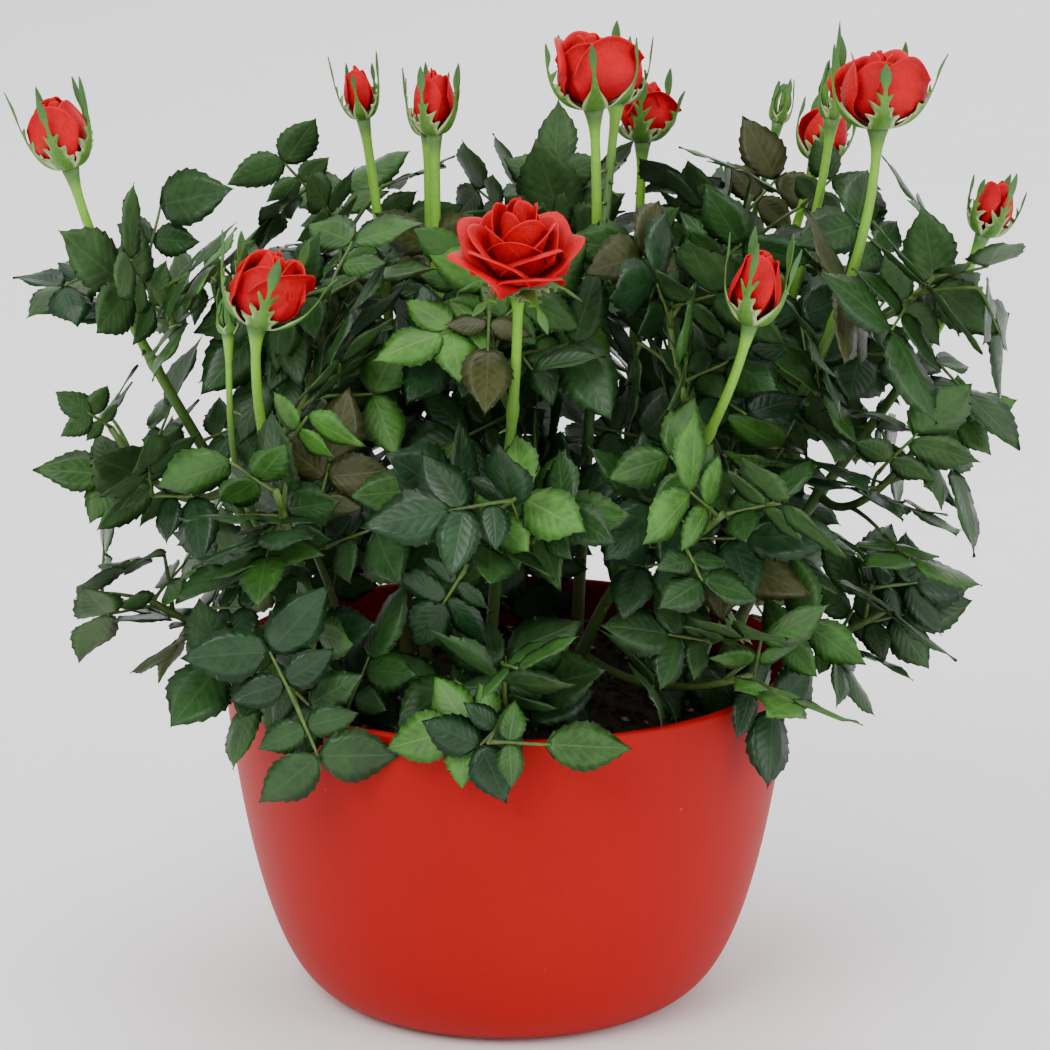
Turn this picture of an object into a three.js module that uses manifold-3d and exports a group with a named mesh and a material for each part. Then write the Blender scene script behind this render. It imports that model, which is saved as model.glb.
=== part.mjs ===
// A miniature rose bush growing in a round plastic bowl: the bowl, its potting mix, the canes that rise from
// it, the blooms at their tips and the leafy shoots between them.
// Millimetres, +Z up, origin at the centre of the bowl's flat underside. The front of the plant faces -Y.

import * as THREE from 'three';
import { mergeVertices } from 'three/addons/utils/BufferGeometryUtils.js';
import Module from 'manifold-3d';

const wasm = await Module();
wasm.setup();

// ---------------------------------------------------------------- driving dimensions

const bowl = {
	height: 100,
	rimRadius: 82.5,
	baseRadius: 43.8,
	wall: 2.6,
	floor: 3.5,
	sidePower: 1.26, // how fast the side rises from the foot
	footPower: 2.9, // how tightly the side turns in to the foot
	outerRings: 8,
	innerRings: 3,
	sides: 36,
};

const mix = {
	top: 88, // the level part that the canes stand on
	levelRadius: 66,
	edgeDrop: 3,
	gap: 0.35, // between the potting mix and the bowl
};

const canes = {
	footRadius: 2.3,
	neckRadius: 1.55,
	footFlare: 1.35,
	hipRadius: 3.4,
	hipLength: 9,
	sides: 5,
	gap: 0.5, // between a shoot and the limb that carries it
	stations: [ 0, 0.025, 0.26, 0.52, 0.78, 0.95, 1 ], // shares of the length that have a ring
};

const leaflets = {
	length: 32, // the end leaflet of a full leaf
	spread: 0.34, // how far the length varies, as a share
	widthShare: 0.68,
	widest: 0.42, // share of the length at which the blade is widest
	arch: 0.05, // how far the blade's edges hang below its midrib, as a share of its length
	lowerStalk: 0.24, // from the stem to the first pair, as a share of the end leaflet's length
	upperStalk: 0.5, // from the first pair to the end leaflet
	secondPair: 0.66, // share of the upper stalk at which the second pair stands
	twigRadius: 0.7,
	stemRadius: 1.4, // where the stem leaves its cane
	stemTipRadius: 1.05,
	stations: [ 0, 0.3, 0.65, 1 ], // shares of a stem's length that have a ring
	sides: 3,
	clearance: 0.5, // from any limb or bloom
	cellGap: 0.2, // from the border of the shoot's own space
	goldenAngle: 2.399963,
	mostOnShoot: 19,
	choices: 90, // the leaves that each new one is picked from
	rounds: 12,
	seed: 41,
};

// Each flowering cane: where its foot stands in the mix, or the cane that it forks from and the share of that
// cane's line at which it does, where its neck is, the way its last stretch leans, and the bloom that it carries
// with its width and height. A bloom that nods away from its cane has the direction of its own axis as its tip.
const flowers = [
	{ name: 'far_left', foot: [ -58, 4 ], neck: [ -123, -5, 245 ], lean: [ -0.23, 0, 1 ],
		bloom: 'bud', width: 16.5, height: 19 },
	{ name: 'back_left', foot: [ -30, 30 ], neck: [ -42, 40, 251 ], lean: [ -0.16, 0.05, 1 ],
		bloom: 'bud', width: 9, height: 14 },
	{ name: 'left_centre', foot: [ -24, 6 ], neck: [ -20.5, 5, 253 ], lean: [ -0.02, 0, 1 ],
		bloom: 'bud', width: 12.5, height: 17 },
	{ name: 'left_centre_back', fork: 'left_centre', at: 0.4, neck: [ -23, 34, 247 ], lean: [ 0, 0.05, 1 ],
		bloom: 'bud', width: 9, height: 13 },
	{ name: 'tall_centre', foot: [ 20, 4 ], neck: [ 24.3, -5, 262 ], lean: [ -0.06, -0.05, 1 ],
		bloom: 'half', width: 23, height: 19.5 },
	{ name: 'tall_centre_back', fork: 'tall_centre', at: 0.72, neck: [ 31.5, 20, 259 ], lean: [ 0.14, 0.2, 1 ],
		bloom: 'bud', width: 12, height: 15 },
	{ name: 'back_centre', foot: [ 34, 40 ], neck: [ 39.5, 47, 243 ], lean: [ 0.03, 0.05, 1 ],
		bloom: 'half', width: 16.5, height: 16 },
	{ name: 'front_open', foot: [ -6, -28 ], neck: [ 3.2, -52, 221 ], lean: [ 0, -0.25, 1 ],
		bloom: 'open', width: 41, height: 25 },
	{ name: 'front_left', foot: [ -50, -22 ], neck: [ -68.5, -45, 209 ], lean: [ 0.1, -0.1, 1 ],
		bloom: 'half', width: 23, height: 20, tip: [ 0.32, -0.12, 1 ] },
	{ name: 'front_left_bud', fork: 'front_left', at: 0.42, neck: [ -77, -38, 205 ], lean: [ -0.02, 0, 1 ],
		bloom: 'green', width: 5.6, height: 6 },
	{ name: 'front_right', foot: [ 16, -20 ], neck: [ 67, -48, 210 ], lean: [ 0.2, -0.05, 1 ],
		bloom: 'bud', width: 15, height: 19 },
	{ name: 'tall_right', foot: [ 50, -8 ], neck: [ 103.8, -8, 257 ], lean: [ 0, 0, 1 ],
		bloom: 'half', width: 25.5, height: 20 },
	{ name: 'right_green_bud', foot: [ 50, 16 ], neck: [ 93.2, 25, 254 ], lean: [ 0.08, 0, 1 ],
		bloom: 'green', width: 8, height: 9 },
	{ name: 'back_right', foot: [ 54, 34 ], neck: [ 90.6, 47, 237 ], lean: [ 0.3, 0.15, 1 ],
		bloom: 'bud', width: 14, height: 15 },
	{ name: 'far_right', foot: [ 60, 3 ], neck: [ 136.5, 13, 222 ], lean: [ 0.35, 0.1, 1 ],
		bloom: 'bud', width: 12, height: 15 },
	{ name: 'back_right_green_bud', foot: [ 36, 54 ], neck: [ 80, 62, 246 ], lean: [ 0.2, 0.08, 1 ],
		bloom: 'green', width: 5.6, height: 6.5 },
	{ name: 'left_green_bud', foot: [ -46, 20 ], neck: [ -84, 14, 208 ], lean: [ -0.1, 0.05, 1 ],
		bloom: 'green', width: 4.6, height: 5 },
];

const blooms = {
	// The lengths and spreads of sepals are shares of the bloom's height, base and top are shares of its radius.
	bud: { sides: 7, sepalLength: 1.15, sepalSpread: 0.34, top: 0.42 },
	half: { sides: 9, sepalLength: 1.1, sepalSpread: 0.55, base: 0.5, top: 0.66 },
	open: { sides: 9, sepalLength: 0.7, sepalSpread: 1.5, base: 0.5, top: 0.4 },
	green: { sepalLength: 1.7, sepalSpread: 0.2 },
	fold: 0.08, // how deep the three spiral folds of a heart are, as a share of its radius
	sepals: 5,
	openPetals: 7,
	halfHeart: 0.96, // the heart's share of the radius of a half-open bloom
	openHeart: 0.62, // and of an open one
	sepalWidth: 0.34, // of the bloom's width
	sepalThick: 1.0,
	seat: 0.33, // between the petals and the end of the cane
	room: 0.65, // half the size of the body that thickens a sepal to cut the petals clear of it
};

// Each leafy shoot: the cane that carries it and at which share of that cane's line, the centre of the space that
// it fills, how far it reaches from there along X, Y and Z, and the far tips that its first leaves reach for.
const shoots = [
	{ name: 'low_front', cane: 'front_open', at: 0.1, centre: [ 0, -74, 107 ], reach: [ 40, 34, 33 ],
		tips: [ [ -24, -96, 85 ], [ 23, -92, 99 ] ] },
	{ name: 'low_front_left', cane: 'front_left', at: 0.1, centre: [ -60, -54, 110 ], reach: [ 44, 42, 36 ],
		tips: [ [ -94, -42, 86 ], [ -37, -86, 93 ] ] },
	{ name: 'low_front_right', cane: 'front_right', at: 0.14, centre: [ 60, -50, 110 ], reach: [ 44, 42, 36 ],
		tips: [ [ 97, -40, 77 ] ] },
	{ name: 'low_left', cane: 'far_left', at: 0.12, centre: [ -96, -2, 116 ], reach: [ 38, 44, 34 ],
		tips: [ [ -109, -24, 103 ] ] },
	{ name: 'low_right', cane: 'far_right', at: 0.12, centre: [ 100, 0, 112 ], reach: [ 38, 44, 38 ],
		tips: [ [ 118, -12, 98 ], [ 110, 6, 80 ] ] },
	{ name: 'low_back_left', cane: 'left_green_bud', at: 0.08,
		centre: [ -60, 62, 112 ], reach: [ 44, 42, 34 ] },
	{ name: 'low_back', cane: 'back_left', at: 0.1, centre: [ 2, 84, 108 ], reach: [ 42, 34, 33 ],
		tips: [ [ 10, 116, 104 ] ] },
	{ name: 'low_back_right', cane: 'back_right_green_bud', at: 0.08,
		centre: [ 64, 64, 112 ], reach: [ 44, 42, 34 ] },
	{ name: 'front_left', cane: 'front_left', at: 0.42, centre: [ -62, -54, 158 ], reach: [ 42, 38, 38 ] },
	{ name: 'front', cane: 'front_open', at: 0.5, centre: [ -6, -66, 156 ], reach: [ 42, 34, 38 ],
		tips: [ [ -4, -99, 150 ] ] },
	{ name: 'front_right', cane: 'front_right', at: 0.5, centre: [ 54, -56, 156 ], reach: [ 42, 36, 38 ] },
	{ name: 'left', cane: 'far_left', at: 0.38, centre: [ -104, -2, 162 ], reach: [ 38, 46, 38 ],
		tips: [ [ -136, -4, 157 ], [ -128, -14, 182 ] ] },
	{ name: 'right', cane: 'far_right', at: 0.42, centre: [ 112, -4, 162 ], reach: [ 42, 46, 40 ],
		tips: [ [ 148, -4, 133 ], [ 147, 2, 176 ] ] },
	{ name: 'back_left', cane: 'left_green_bud', at: 0.5, centre: [ -62, 64, 160 ], reach: [ 44, 42, 38 ],
		tips: [ [ -76, 100, 168 ] ] },
	{ name: 'back', cane: 'back_left', at: 0.4, centre: [ 2, 84, 160 ], reach: [ 42, 38, 38 ],
		tips: [ [ -8, 119, 162 ] ] },
	{ name: 'back_right', cane: 'back_right_green_bud', at: 0.42, centre: [ 66, 66, 160 ], reach: [ 44, 42, 38 ],
		tips: [ [ 80, 103, 168 ] ] },
	{ name: 'centre', cane: 'left_centre', at: 0.4, centre: [ -2, 0, 154 ], reach: [ 42, 42, 40 ] },
	{ name: 'top_left', cane: 'far_left', at: 0.64, centre: [ -104, -4, 206 ], reach: [ 40, 42, 36 ],
		tips: [ [ -136, -6, 220 ], [ -131, 8, 202 ] ] },
	{ name: 'top_front_left', cane: 'front_left', at: 0.7, centre: [ -54, -24, 202 ], reach: [ 38, 40, 42 ],
		tips: [ [ -72, -2, 233 ] ] },
	{ name: 'top_front', cane: 'front_open', at: 0.72, centre: [ -4, -28, 200 ], reach: [ 40, 36, 36 ] },
	{ name: 'top_front_right', cane: 'front_right', at: 0.74, centre: [ 48, -24, 202 ], reach: [ 40, 40, 42 ] },
	{ name: 'top_right', cane: 'tall_right', at: 0.68, centre: [ 110, -6, 208 ], reach: [ 42, 46, 40 ],
		tips: [ [ 150, -4, 228 ], [ 148, 0, 197 ] ] },
	{ name: 'top_back_left', cane: 'back_left', at: 0.68, centre: [ -44, 40, 210 ], reach: [ 42, 42, 38 ],
		tips: [ [ -58, 20, 238 ], [ -14, 24, 245 ] ] },
	{ name: 'top_back', cane: 'back_centre', at: 0.7, centre: [ 16, 48, 212 ], reach: [ 40, 42, 38 ] },
	{ name: 'top_back_right', cane: 'back_right', at: 0.66, centre: [ 72, 44, 214 ], reach: [ 42, 42, 44 ],
		tips: [ [ 63, 58, 255 ] ] },
];

const materials = {
	bowl: new THREE.MeshStandardMaterial({ name: 'bowl', color: '#c23129', roughness: 0.45, metalness: 0 }),
	mix: new THREE.MeshStandardMaterial({ name: 'mix', color: '#2e2018', roughness: 1, metalness: 0 }),
	cane: new THREE.MeshStandardMaterial({ name: 'cane', color: '#5f9a37', roughness: 0.6, metalness: 0 }),
	petal: new THREE.MeshStandardMaterial({ name: 'petal', color: '#d3131c', roughness: 0.55, metalness: 0 }),
	leaf: new THREE.MeshStandardMaterial({ name: 'leaf', color: '#2c5a2c', roughness: 0.5, metalness: 0 }),
};

// ---------------------------------------------------------------- solids

const rose = new THREE.Group();

// A closed geometry as a solid that can be joined and cut.
function solidOf( geometry ) {

	const bare = geometry.clone();
	bare.deleteAttribute( 'normal' );
	bare.deleteAttribute( 'uv' );
	const merged = mergeVertices( bare );
	return new wasm.Manifold( new wasm.Mesh( {
		numProp: 3,
		vertProperties: new Float32Array( merged.attributes.position.array ),
		triVerts: new Uint32Array( merged.index.array ),
	} ) );

}

function geometryOf( solid ) {

	const mesh = solid.getMesh();
	const geometry = new THREE.BufferGeometry();
	geometry.setAttribute( 'position', new THREE.BufferAttribute( mesh.vertProperties, 3 ) );
	geometry.setIndex( new THREE.BufferAttribute( mesh.triVerts, 1 ) );
	geometry.computeVertexNormals();
	return geometry;

}

// The largest body of a joined solid: a scrap that its limb does not reach is dropped.
function largestBody( solid ) {

	return solid.decompose().reduce( ( best, body ) => body.volume() > best.volume() ? body : best );

}

function add( name, geometry, material ) {

	const mesh = new THREE.Mesh( geometry, material );
	mesh.name = name;
	rose.add( mesh );
	return mesh;

}

// Numbers from 0 to 1 that are the same in every run.
function seeded( seed ) {

	let state = seed >>> 0;
	return () => {

		state = ( state + 0x6d2b79f5 ) >>> 0;
		let t = state;
		t = Math.imul( t ^ ( t >>> 15 ), t | 1 );
		t ^= t + Math.imul( t ^ ( t >>> 7 ), t | 61 );
		return ( ( t ^ ( t >>> 14 ) ) >>> 0 ) / 4294967296;

	};

}

// ---------------------------------------------------------------- bowl and potting mix

// The outside of the bowl: it turns out of its flat foot and rises to the rim.
function bowlRadius( z ) {

	const rise = 1 - ( 1 - z / bowl.height ) ** bowl.sidePower;
	return bowl.baseRadius + ( bowl.rimRadius - bowl.baseRadius ) * rise ** ( 1 / bowl.footPower );

}

function turned( profile, sides ) {

	return new THREE.LatheGeometry( profile, sides ).rotateX( Math.PI / 2 );

}

// The corners of the bowl's inner side, from the floor up to the rim.
function innerCorners() {

	const span = bowl.height - bowl.wall / 2 - bowl.floor;
	return Array.from( { length: bowl.innerRings + 1 }, ( _, ring ) => {

		const z = bowl.floor + span * ( ring / bowl.innerRings ) ** 1.7;
		return new THREE.Vector2( bowlRadius( z ) - bowl.wall, z );

	} );

}

function bowlGeometry() {

	const lip = bowl.wall / 2;
	const outside = [ new THREE.Vector2( 0, 0 ), new THREE.Vector2( bowl.baseRadius, 0 ) ];
	for ( let ring = 1; ring <= bowl.outerRings; ring ++ ) {

		const z = ( bowl.height - lip ) * ( ring / bowl.outerRings ) ** 2.2;
		outside.push( new THREE.Vector2( bowlRadius( z ), z ) );

	}

	const crest = new THREE.Vector2( bowl.rimRadius - lip, bowl.height );
	const floor = new THREE.Vector2( 0, bowl.floor );
	return turned( [ ...outside, crest, ...innerCorners().reverse(), floor ], bowl.sides );

}

// The potting mix fills the bowl up to a level bed that falls a little towards the wall. Its sides follow the
// corners of the bowl's inner side, just clear of them.
function mixGeometry() {

	const bottom = bowl.floor + mix.gap;
	const edge = mix.top - mix.edgeDrop;
	const corners = innerCorners();
	const inside = ( z ) => {

		const above = corners.findIndex( ( corner ) => corner.y > z );
		const [ low, high ] = [ corners[ above - 1 ], corners[ above ] ];
		return low.x + ( high.x - low.x ) * ( z - low.y ) / ( high.y - low.y ) - mix.gap * 1.4;

	};

	const between = corners.map( ( corner ) => corner.y ).filter( ( z ) => z > bottom && z < edge );
	const levels = [ bottom, ...between, edge ];
	const sides = levels.map( ( z ) => new THREE.Vector2( inside( z ), z ) );
	const top = [ new THREE.Vector2( mix.levelRadius, mix.top ), new THREE.Vector2( 0, mix.top ) ];
	return turned( [ new THREE.Vector2( 0, bottom ), ...sides, ...top ], bowl.sides );

}

add( 'bowl', bowlGeometry(), materials.bowl );
add( 'potting_mix', mixGeometry(), materials.mix );

// ---------------------------------------------------------------- limbs

// Two directions square to a limb that runs along tangent, the second as near to up as it can be.
function framed( tangent, up ) {

	const level = Math.abs( tangent.y ) < 0.8 ? new THREE.Vector3( 0, 1, 0 ) : new THREE.Vector3( 1, 0, 0 );
	const guide = up ?? level;
	const side = new THREE.Vector3().crossVectors( guide, tangent ).normalize();
	return { side, lift: new THREE.Vector3().crossVectors( tangent, side ) };

}

// A line of straight pieces between a curve's stations, which is the line that a limb's rings follow.
function jointed( curve, stations ) {

	const corners = stations.map( ( along ) => curve.getPoint( along ) );
	return {
		stations,
		getTangent: ( along ) => curve.getTangent( along ),
		getPoint: ( along ) => {

			const next = Math.max( 1, stations.findIndex( ( station ) => station >= along ) );
			const share = ( along - stations[ next - 1 ] ) / ( stations[ next ] - stations[ next - 1 ] );
			return corners[ next - 1 ].clone().lerp( corners[ next ], share );

		},
	};

}

// A closed limb along a jointed line: a cylinder with a ring at each station, of the radius that radiusAt gives.
// Its two ends are square to foot and head where those are given.
function limb( line, radiusAt, sides, { foot, head, up } = {} ) {

	const { stations } = line;
	const geometry = new THREE.CylinderGeometry( 1, 1, 1, sides, stations.length - 1 );
	const place = geometry.attributes.position;
	for ( let i = 0; i < place.count; i ++ ) {

		const station = Math.round( ( place.getY( i ) + 0.5 ) * ( stations.length - 1 ) );
		const along = stations[ station ];
		let tangent = line.getTangent( along );
		if ( station === 0 && foot ) tangent = foot;
		if ( station === stations.length - 1 && head ) tangent = head;
		const { side, lift } = framed( tangent, up );
		const point = line.getPoint( along );
		point.addScaledVector( side, place.getX( i ) * radiusAt( along ) );
		point.addScaledVector( lift, - place.getZ( i ) * radiusAt( along ) );
		place.setXYZ( i, point.x, point.y, point.z );

	}

	return geometry;

}

// A sepal or an outer petal: a blade of eight faces with a corner at each of its six points.
function sepal( corners ) {

	const geometry = new THREE.OctahedronGeometry( 1 );
	const place = geometry.attributes.position;
	for ( let i = 0; i < place.count; i ++ ) {

		let corner = corners.tip;
		if ( place.getX( i ) < - 0.5 ) corner = corners.base;
		if ( place.getY( i ) > 0.5 ) corner = corners.left;
		if ( place.getY( i ) < - 0.5 ) corner = corners.right;
		if ( place.getZ( i ) > 0.5 ) corner = corners.upper;
		if ( place.getZ( i ) < - 0.5 ) corner = corners.lower;
		place.setXYZ( i, corner.x, corner.y, corner.z );

	}

	return geometry;

}

// A leaflet's blade of four faces, with the corners that leafletOf gives.
function blade( { base, tip, left, right } ) {

	const geometry = new THREE.TetrahedronGeometry( 1 );
	const place = geometry.attributes.position;
	for ( let i = 0; i < place.count; i ++ ) {

		const [ x, y, z ] = [ place.getX( i ) > 0, place.getY( i ) > 0, place.getZ( i ) > 0 ];
		let corner = tip;
		if ( x && ! y && ! z ) corner = right;
		if ( ! x && y && ! z ) corner = left;
		if ( ! x && ! y && z ) corner = base;
		place.setXYZ( i, corner.x, corner.y, corner.z );

	}

	return geometry;

}

const vector = ( values ) => new THREE.Vector3( ...values );

// The line of each flowering cane, from its foot or its fork to its neck.
for ( const flower of flowers ) {

	const neck = vector( flower.neck );
	const lean = vector( flower.lean ).normalize();
	const parent = flowers.find( ( other ) => other.name === flower.fork );
	let foot, rise;
	if ( parent ) {

		const from = parent.line.getPoint( flower.at );
		const away = neck.clone().sub( from ).setZ( 0 ).normalize();
		const tangent = parent.line.getTangent( flower.at );
		away.addScaledVector( tangent, - away.dot( tangent ) ).normalize();
		foot = from.addScaledVector( away, caneRadius( parent, flower.at ) + canes.gap );
		flower.footAxis = away.clone();
		rise = away.multiplyScalar( 0.7 ).add( tangent ).normalize();
		flower.footRadius = canes.neckRadius * 0.85;

	} else {

		foot = new THREE.Vector3( ...flower.foot, mix.top + canes.gap );
		flower.footAxis = new THREE.Vector3( 0, 0, 1 );
		rise = neck.clone().sub( foot ).multiply( new THREE.Vector3( 0.5, 0.5, 1 ) ).normalize();
		flower.footRadius = canes.footRadius;

	}

	const length = foot.distanceTo( neck );
	flower.length = length;
	flower.line = jointed( new THREE.CubicBezierCurve3(
		foot,
		foot.clone().addScaledVector( rise, length * 0.36 ),
		neck.clone().addScaledVector( lean, - length * 0.36 ),
		neck
	), canes.stations );
	flower.axis = vector( flower.tip ?? flower.lean ).normalize();
	flower.hipRadius = canes.hipRadius * ( 0.45 + flower.width / 42 );
	if ( flower.bloom === 'open' ) flower.hipRadius = canes.hipRadius;
	if ( flower.bloom === 'green' ) flower.hipRadius = flower.width * 0.36;

}

// A cane tapers from a flared foot to its neck and widens into the hip under the bloom.
function caneRadius( flower, along ) {

	const taper = flower.footRadius + ( canes.neckRadius - flower.footRadius ) * along ** 0.7;
	const flare = flower.fork ? 1 : 1 + ( canes.footFlare - 1 ) * Math.max( 0, 1 - along / 0.03 );
	const hipStart = 1 - canes.hipLength / flower.length;
	const hip = Math.max( 0, ( along - hipStart ) / ( 1 - hipStart ) );
	return taper * flare + ( flower.hipRadius - canes.neckRadius ) * hip ** 1.6;

}

// ---------------------------------------------------------------- blooms

// Turns a shape that was built upright, round the Z axis, to stand on a flower's neck.
function onNeck( geometry, flower, lift = 0 ) {

	const upright = new THREE.Quaternion().setFromUnitVectors( new THREE.Vector3( 0, 0, 1 ), flower.axis );
	const seat = vector( flower.neck ).addScaledVector( flower.axis, lift );
	return geometry.applyQuaternion( upright ).translate( seat.x, seat.y, seat.z );

}

// The sepals stand in a ring round the hip's top.
function sepalGeometries( flower ) {

	const kind = blooms[ flower.bloom ];
	const height = flower.bloom === 'open' ? flower.width * 0.42 : flower.height;
	const width = Math.min( 6, Math.max( 3.2, flower.width * blooms.sepalWidth ) );
	const length = height * kind.sepalLength;
	return Array.from( { length: blooms.sepals }, ( _, k ) => {

		const turn = ( k + 0.5 ) * 2 * Math.PI / blooms.sepals + flower.width;
		const out = new THREE.Vector3( Math.cos( turn ), Math.sin( turn ), 0 );
		const across = new THREE.Vector3( - Math.sin( turn ), Math.cos( turn ), 0 );
		const at = ( radius, z, beside = 0 ) =>
			out.clone().multiplyScalar( radius ).addScaledVector( across, beside ).setZ( z );
		const belly = flower.bloom === 'open' ? length * 0.45 : flower.width / 2 + 0.4;
		const bellyZ = flower.bloom === 'open' ? - 1.5 : height * 0.36;
		const tipRadius = belly + length * 0.5 * kind.sepalSpread;
		const tipZ = flower.bloom === 'open' ? - 6 : length;
		return sepal( {
			base: at( flower.hipRadius * 0.25, - 1.6 ),
			tip: at( tipRadius, tipZ ),
			left: at( belly, bellyZ, width / 2 ),
			right: at( belly, bellyZ, - width / 2 ),
			upper: at( belly - blooms.sepalThick / 2, bellyZ + 0.6 ),
			lower: at( belly + blooms.sepalThick / 2, bellyZ - 0.6 ),
		} );

	} );

}

// The rolled heart of a bloom: a turned body whose sides carry three spiral folds.
function heart( radius, height, { base, top, sides } ) {

	const outline = [ [ 0, 0 ], [ base, 0 ], [ 1, 0.35 ], [ 0.88, 0.74 ], [ top, 0.98 ], [ 0, 0.86 ] ];
	const profile = outline.map( ( [ r, z ] ) => new THREE.Vector2( r * radius, z * height ) );
	const geometry = turned( profile, sides );
	const place = geometry.attributes.position;
	for ( let i = 0; i < place.count; i ++ ) {

		const angle = Math.atan2( place.getY( i ), place.getX( i ) );
		const rise = place.getZ( i ) / height;
		const fold = 1 + blooms.fold * Math.cos( 3 * angle + 4 * rise );
		place.setXYZ( i, place.getX( i ) * fold, place.getY( i ) * fold, place.getZ( i ) );

	}

	return geometry;

}

// A furled bud: it widens from a point in the calyx, so that it lies within its five sepals.
function furled( radius, height, top, sides ) {

	const outline = [ [ 0, 0 ], [ 0.86, 0.46 ], [ 0.94, 0.62 ], [ top, 1 ], [ 0, 0.9 ] ];
	const profile = outline.map( ( [ r, z ] ) => new THREE.Vector2( r * radius, z * height ) );
	return turned( profile, sides );

}

// An outer petal of an open bloom: a thick blade that leans out from the heart. Its neighbours differ a little.
function openPetal( half, tall, k ) {

	const turn = ( k + 0.2 ) * 2 * Math.PI / blooms.openPetals;
	const uneven = ( 2 * k ) % blooms.openPetals / blooms.openPetals;
	const out = new THREE.Vector3( Math.cos( turn ), Math.sin( turn ), 0 );
	const across = new THREE.Vector3( - Math.sin( turn ), Math.cos( turn ), 0 );
	const at = ( radius, z, beside = 0 ) => out.clone().multiplyScalar( radius * half )
		.addScaledVector( across, beside * half ).setZ( z * tall );
	return sepal( {
		base: at( 0.12, 0.1 ),
		tip: at( 1 - 0.06 * uneven, 0.52 + 0.2 * uneven ),
		left: at( 0.72, 0.5 + 0.1 * uneven, 0.56 ),
		right: at( 0.72, 0.54 - 0.1 * uneven, - 0.56 ),
		upper: at( 0.62, 0.42 ),
		lower: at( 0.74, 0.26 ),
	} );

}

function petalSolid( flower ) {

	const kind = blooms[ flower.bloom ];
	const half = flower.width / 2;
	const tall = flower.height;
	const shapes = [];
	if ( flower.bloom === 'bud' ) {

		const bud = furled( half, tall, kind.top, kind.sides );
		return solidOf( onNeck( bud, flower, blooms.seat ) );

	}

	if ( flower.bloom === 'half' ) shapes.push( heart( half * blooms.halfHeart, tall, kind ) );
	if ( flower.bloom === 'open' ) {

		shapes.push( heart( half * blooms.openHeart, tall, kind ) );
		for ( let k = 0; k < blooms.openPetals; k ++ ) shapes.push( openPetal( half, tall, k ) );

	}

	const placed = shapes.map( ( shape ) => solidOf( onNeck( shape, flower, blooms.seat ) ) );
	if ( flower.bloom === 'open' ) return largestBody( wasm.Manifold.union( placed ) ); // its sepals hang below it
	const room = solidOf( new THREE.OctahedronGeometry( blooms.room ) );
	const cuts = sepalGeometries( flower ).map( ( shape ) =>
		solidOf( onNeck( shape, flower ) ).minkowskiSum( room ) );
	return largestBody( wasm.Manifold.union( placed ).subtract( wasm.Manifold.union( cuts ) ).simplify( 0.01 ) );

}

// A closed bud: its five sepals are pressed together into one ribbed body with a drawn-out tip.
function greenBud( flower ) {

	const outline = [ [ 0, - 0.12 ], [ 0.6, - 0.1 ], [ 1, 0.4 ], [ 0.55, 0.9 ], [ 0.2, 1.15 ], [ 0, 1.8 ] ];
	const profile = outline.map( ( [ r, z ] ) => new THREE.Vector2( r * flower.width / 2, z * flower.height ) );
	return turned( profile, blooms.sepals );

}

// A cane with its sepals, and with its closed green bud where it has no red in it yet.
function caneSolid( flower ) {

	const ends = { foot: flower.footAxis, head: flower.axis };
	const shapes = [ limb( flower.line, ( along ) => caneRadius( flower, along ), canes.sides, ends ) ];
	if ( flower.bloom === 'green' ) shapes.push( onNeck( greenBud( flower ), flower ) );
	else shapes.push( ...sepalGeometries( flower ).map( ( shape ) => onNeck( shape, flower ) ) );

	return largestBody( wasm.Manifold.union( shapes.map( solidOf ) ) );

}

for ( const flower of flowers ) {

	add( `cane_${ flower.name }`, geometryOf( caneSolid( flower ) ), materials.cane );
	if ( flower.bloom === 'green' ) continue;
	add( `bloom_${ flower.name }`, geometryOf( petalSolid( flower ) ), materials.petal );

}

// ---------------------------------------------------------------- leafy shoots

// The stem of each shoot leaves its cane just clear of it and runs past the centre of the shoot's space.
for ( const shoot of shoots ) {

	const flower = flowers.find( ( { name } ) => name === shoot.cane );
	const from = flower.line.getPoint( shoot.at );
	const along = flower.line.getTangent( shoot.at );
	const centre = vector( shoot.centre );
	const away = centre.clone().sub( from );
	away.addScaledVector( along, - away.dot( along ) ).normalize();
	const foot = from.clone().addScaledVector( away, caneRadius( flower, shoot.at ) + canes.gap );
	const onward = centre.clone().sub( foot ).normalize();
	const tip = centre.clone().addScaledVector( onward, Math.min( ...shoot.reach ) * 0.3 );
	const bend = foot.clone().addScaledVector( away, foot.distanceTo( tip ) * 0.45 );
	shoot.line = jointed( new THREE.QuadraticBezierCurve3( foot, bend, tip ), leaflets.stations );

}

function stemRadius( along ) {

	return leaflets.stemRadius + ( leaflets.stemTipRadius - leaflets.stemRadius ) * along;

}

// What the leaves keep clear of, as balls strung along every cane, stem and sepal and through every bloom.
const balls = [];
for ( const flower of flowers ) {

	for ( let i = 0; i <= 150; i ++ ) {

		const along = i / 150;
		balls.push( { at: flower.line.getPoint( along ), radius: caneRadius( flower, along ) } );

	}

	for ( const share of [ 0.3, 0.75, 1.2 ] ) balls.push( {
		at: vector( flower.neck ).addScaledVector( flower.axis, flower.height * share ),
		radius: flower.width * ( share < 1 ? 0.58 : 0.45 ) + 1,
	} );
	for ( const sepal of sepalGeometries( flower ) ) {

		const { array } = onNeck( sepal, flower ).attributes.position;
		for ( let i = 0; i < array.length; i += 3 ) balls.push( { at: vector( array.slice( i, i + 3 ) ), radius: 2 } );

	}

}

for ( const shoot of shoots ) {

	for ( let i = 0; i <= 40; i ++ ) {

		const along = i / 40;
		balls.push( { at: shoot.line.getPoint( along ), radius: stemRadius( along ), shoot } );

	}

}

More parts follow.
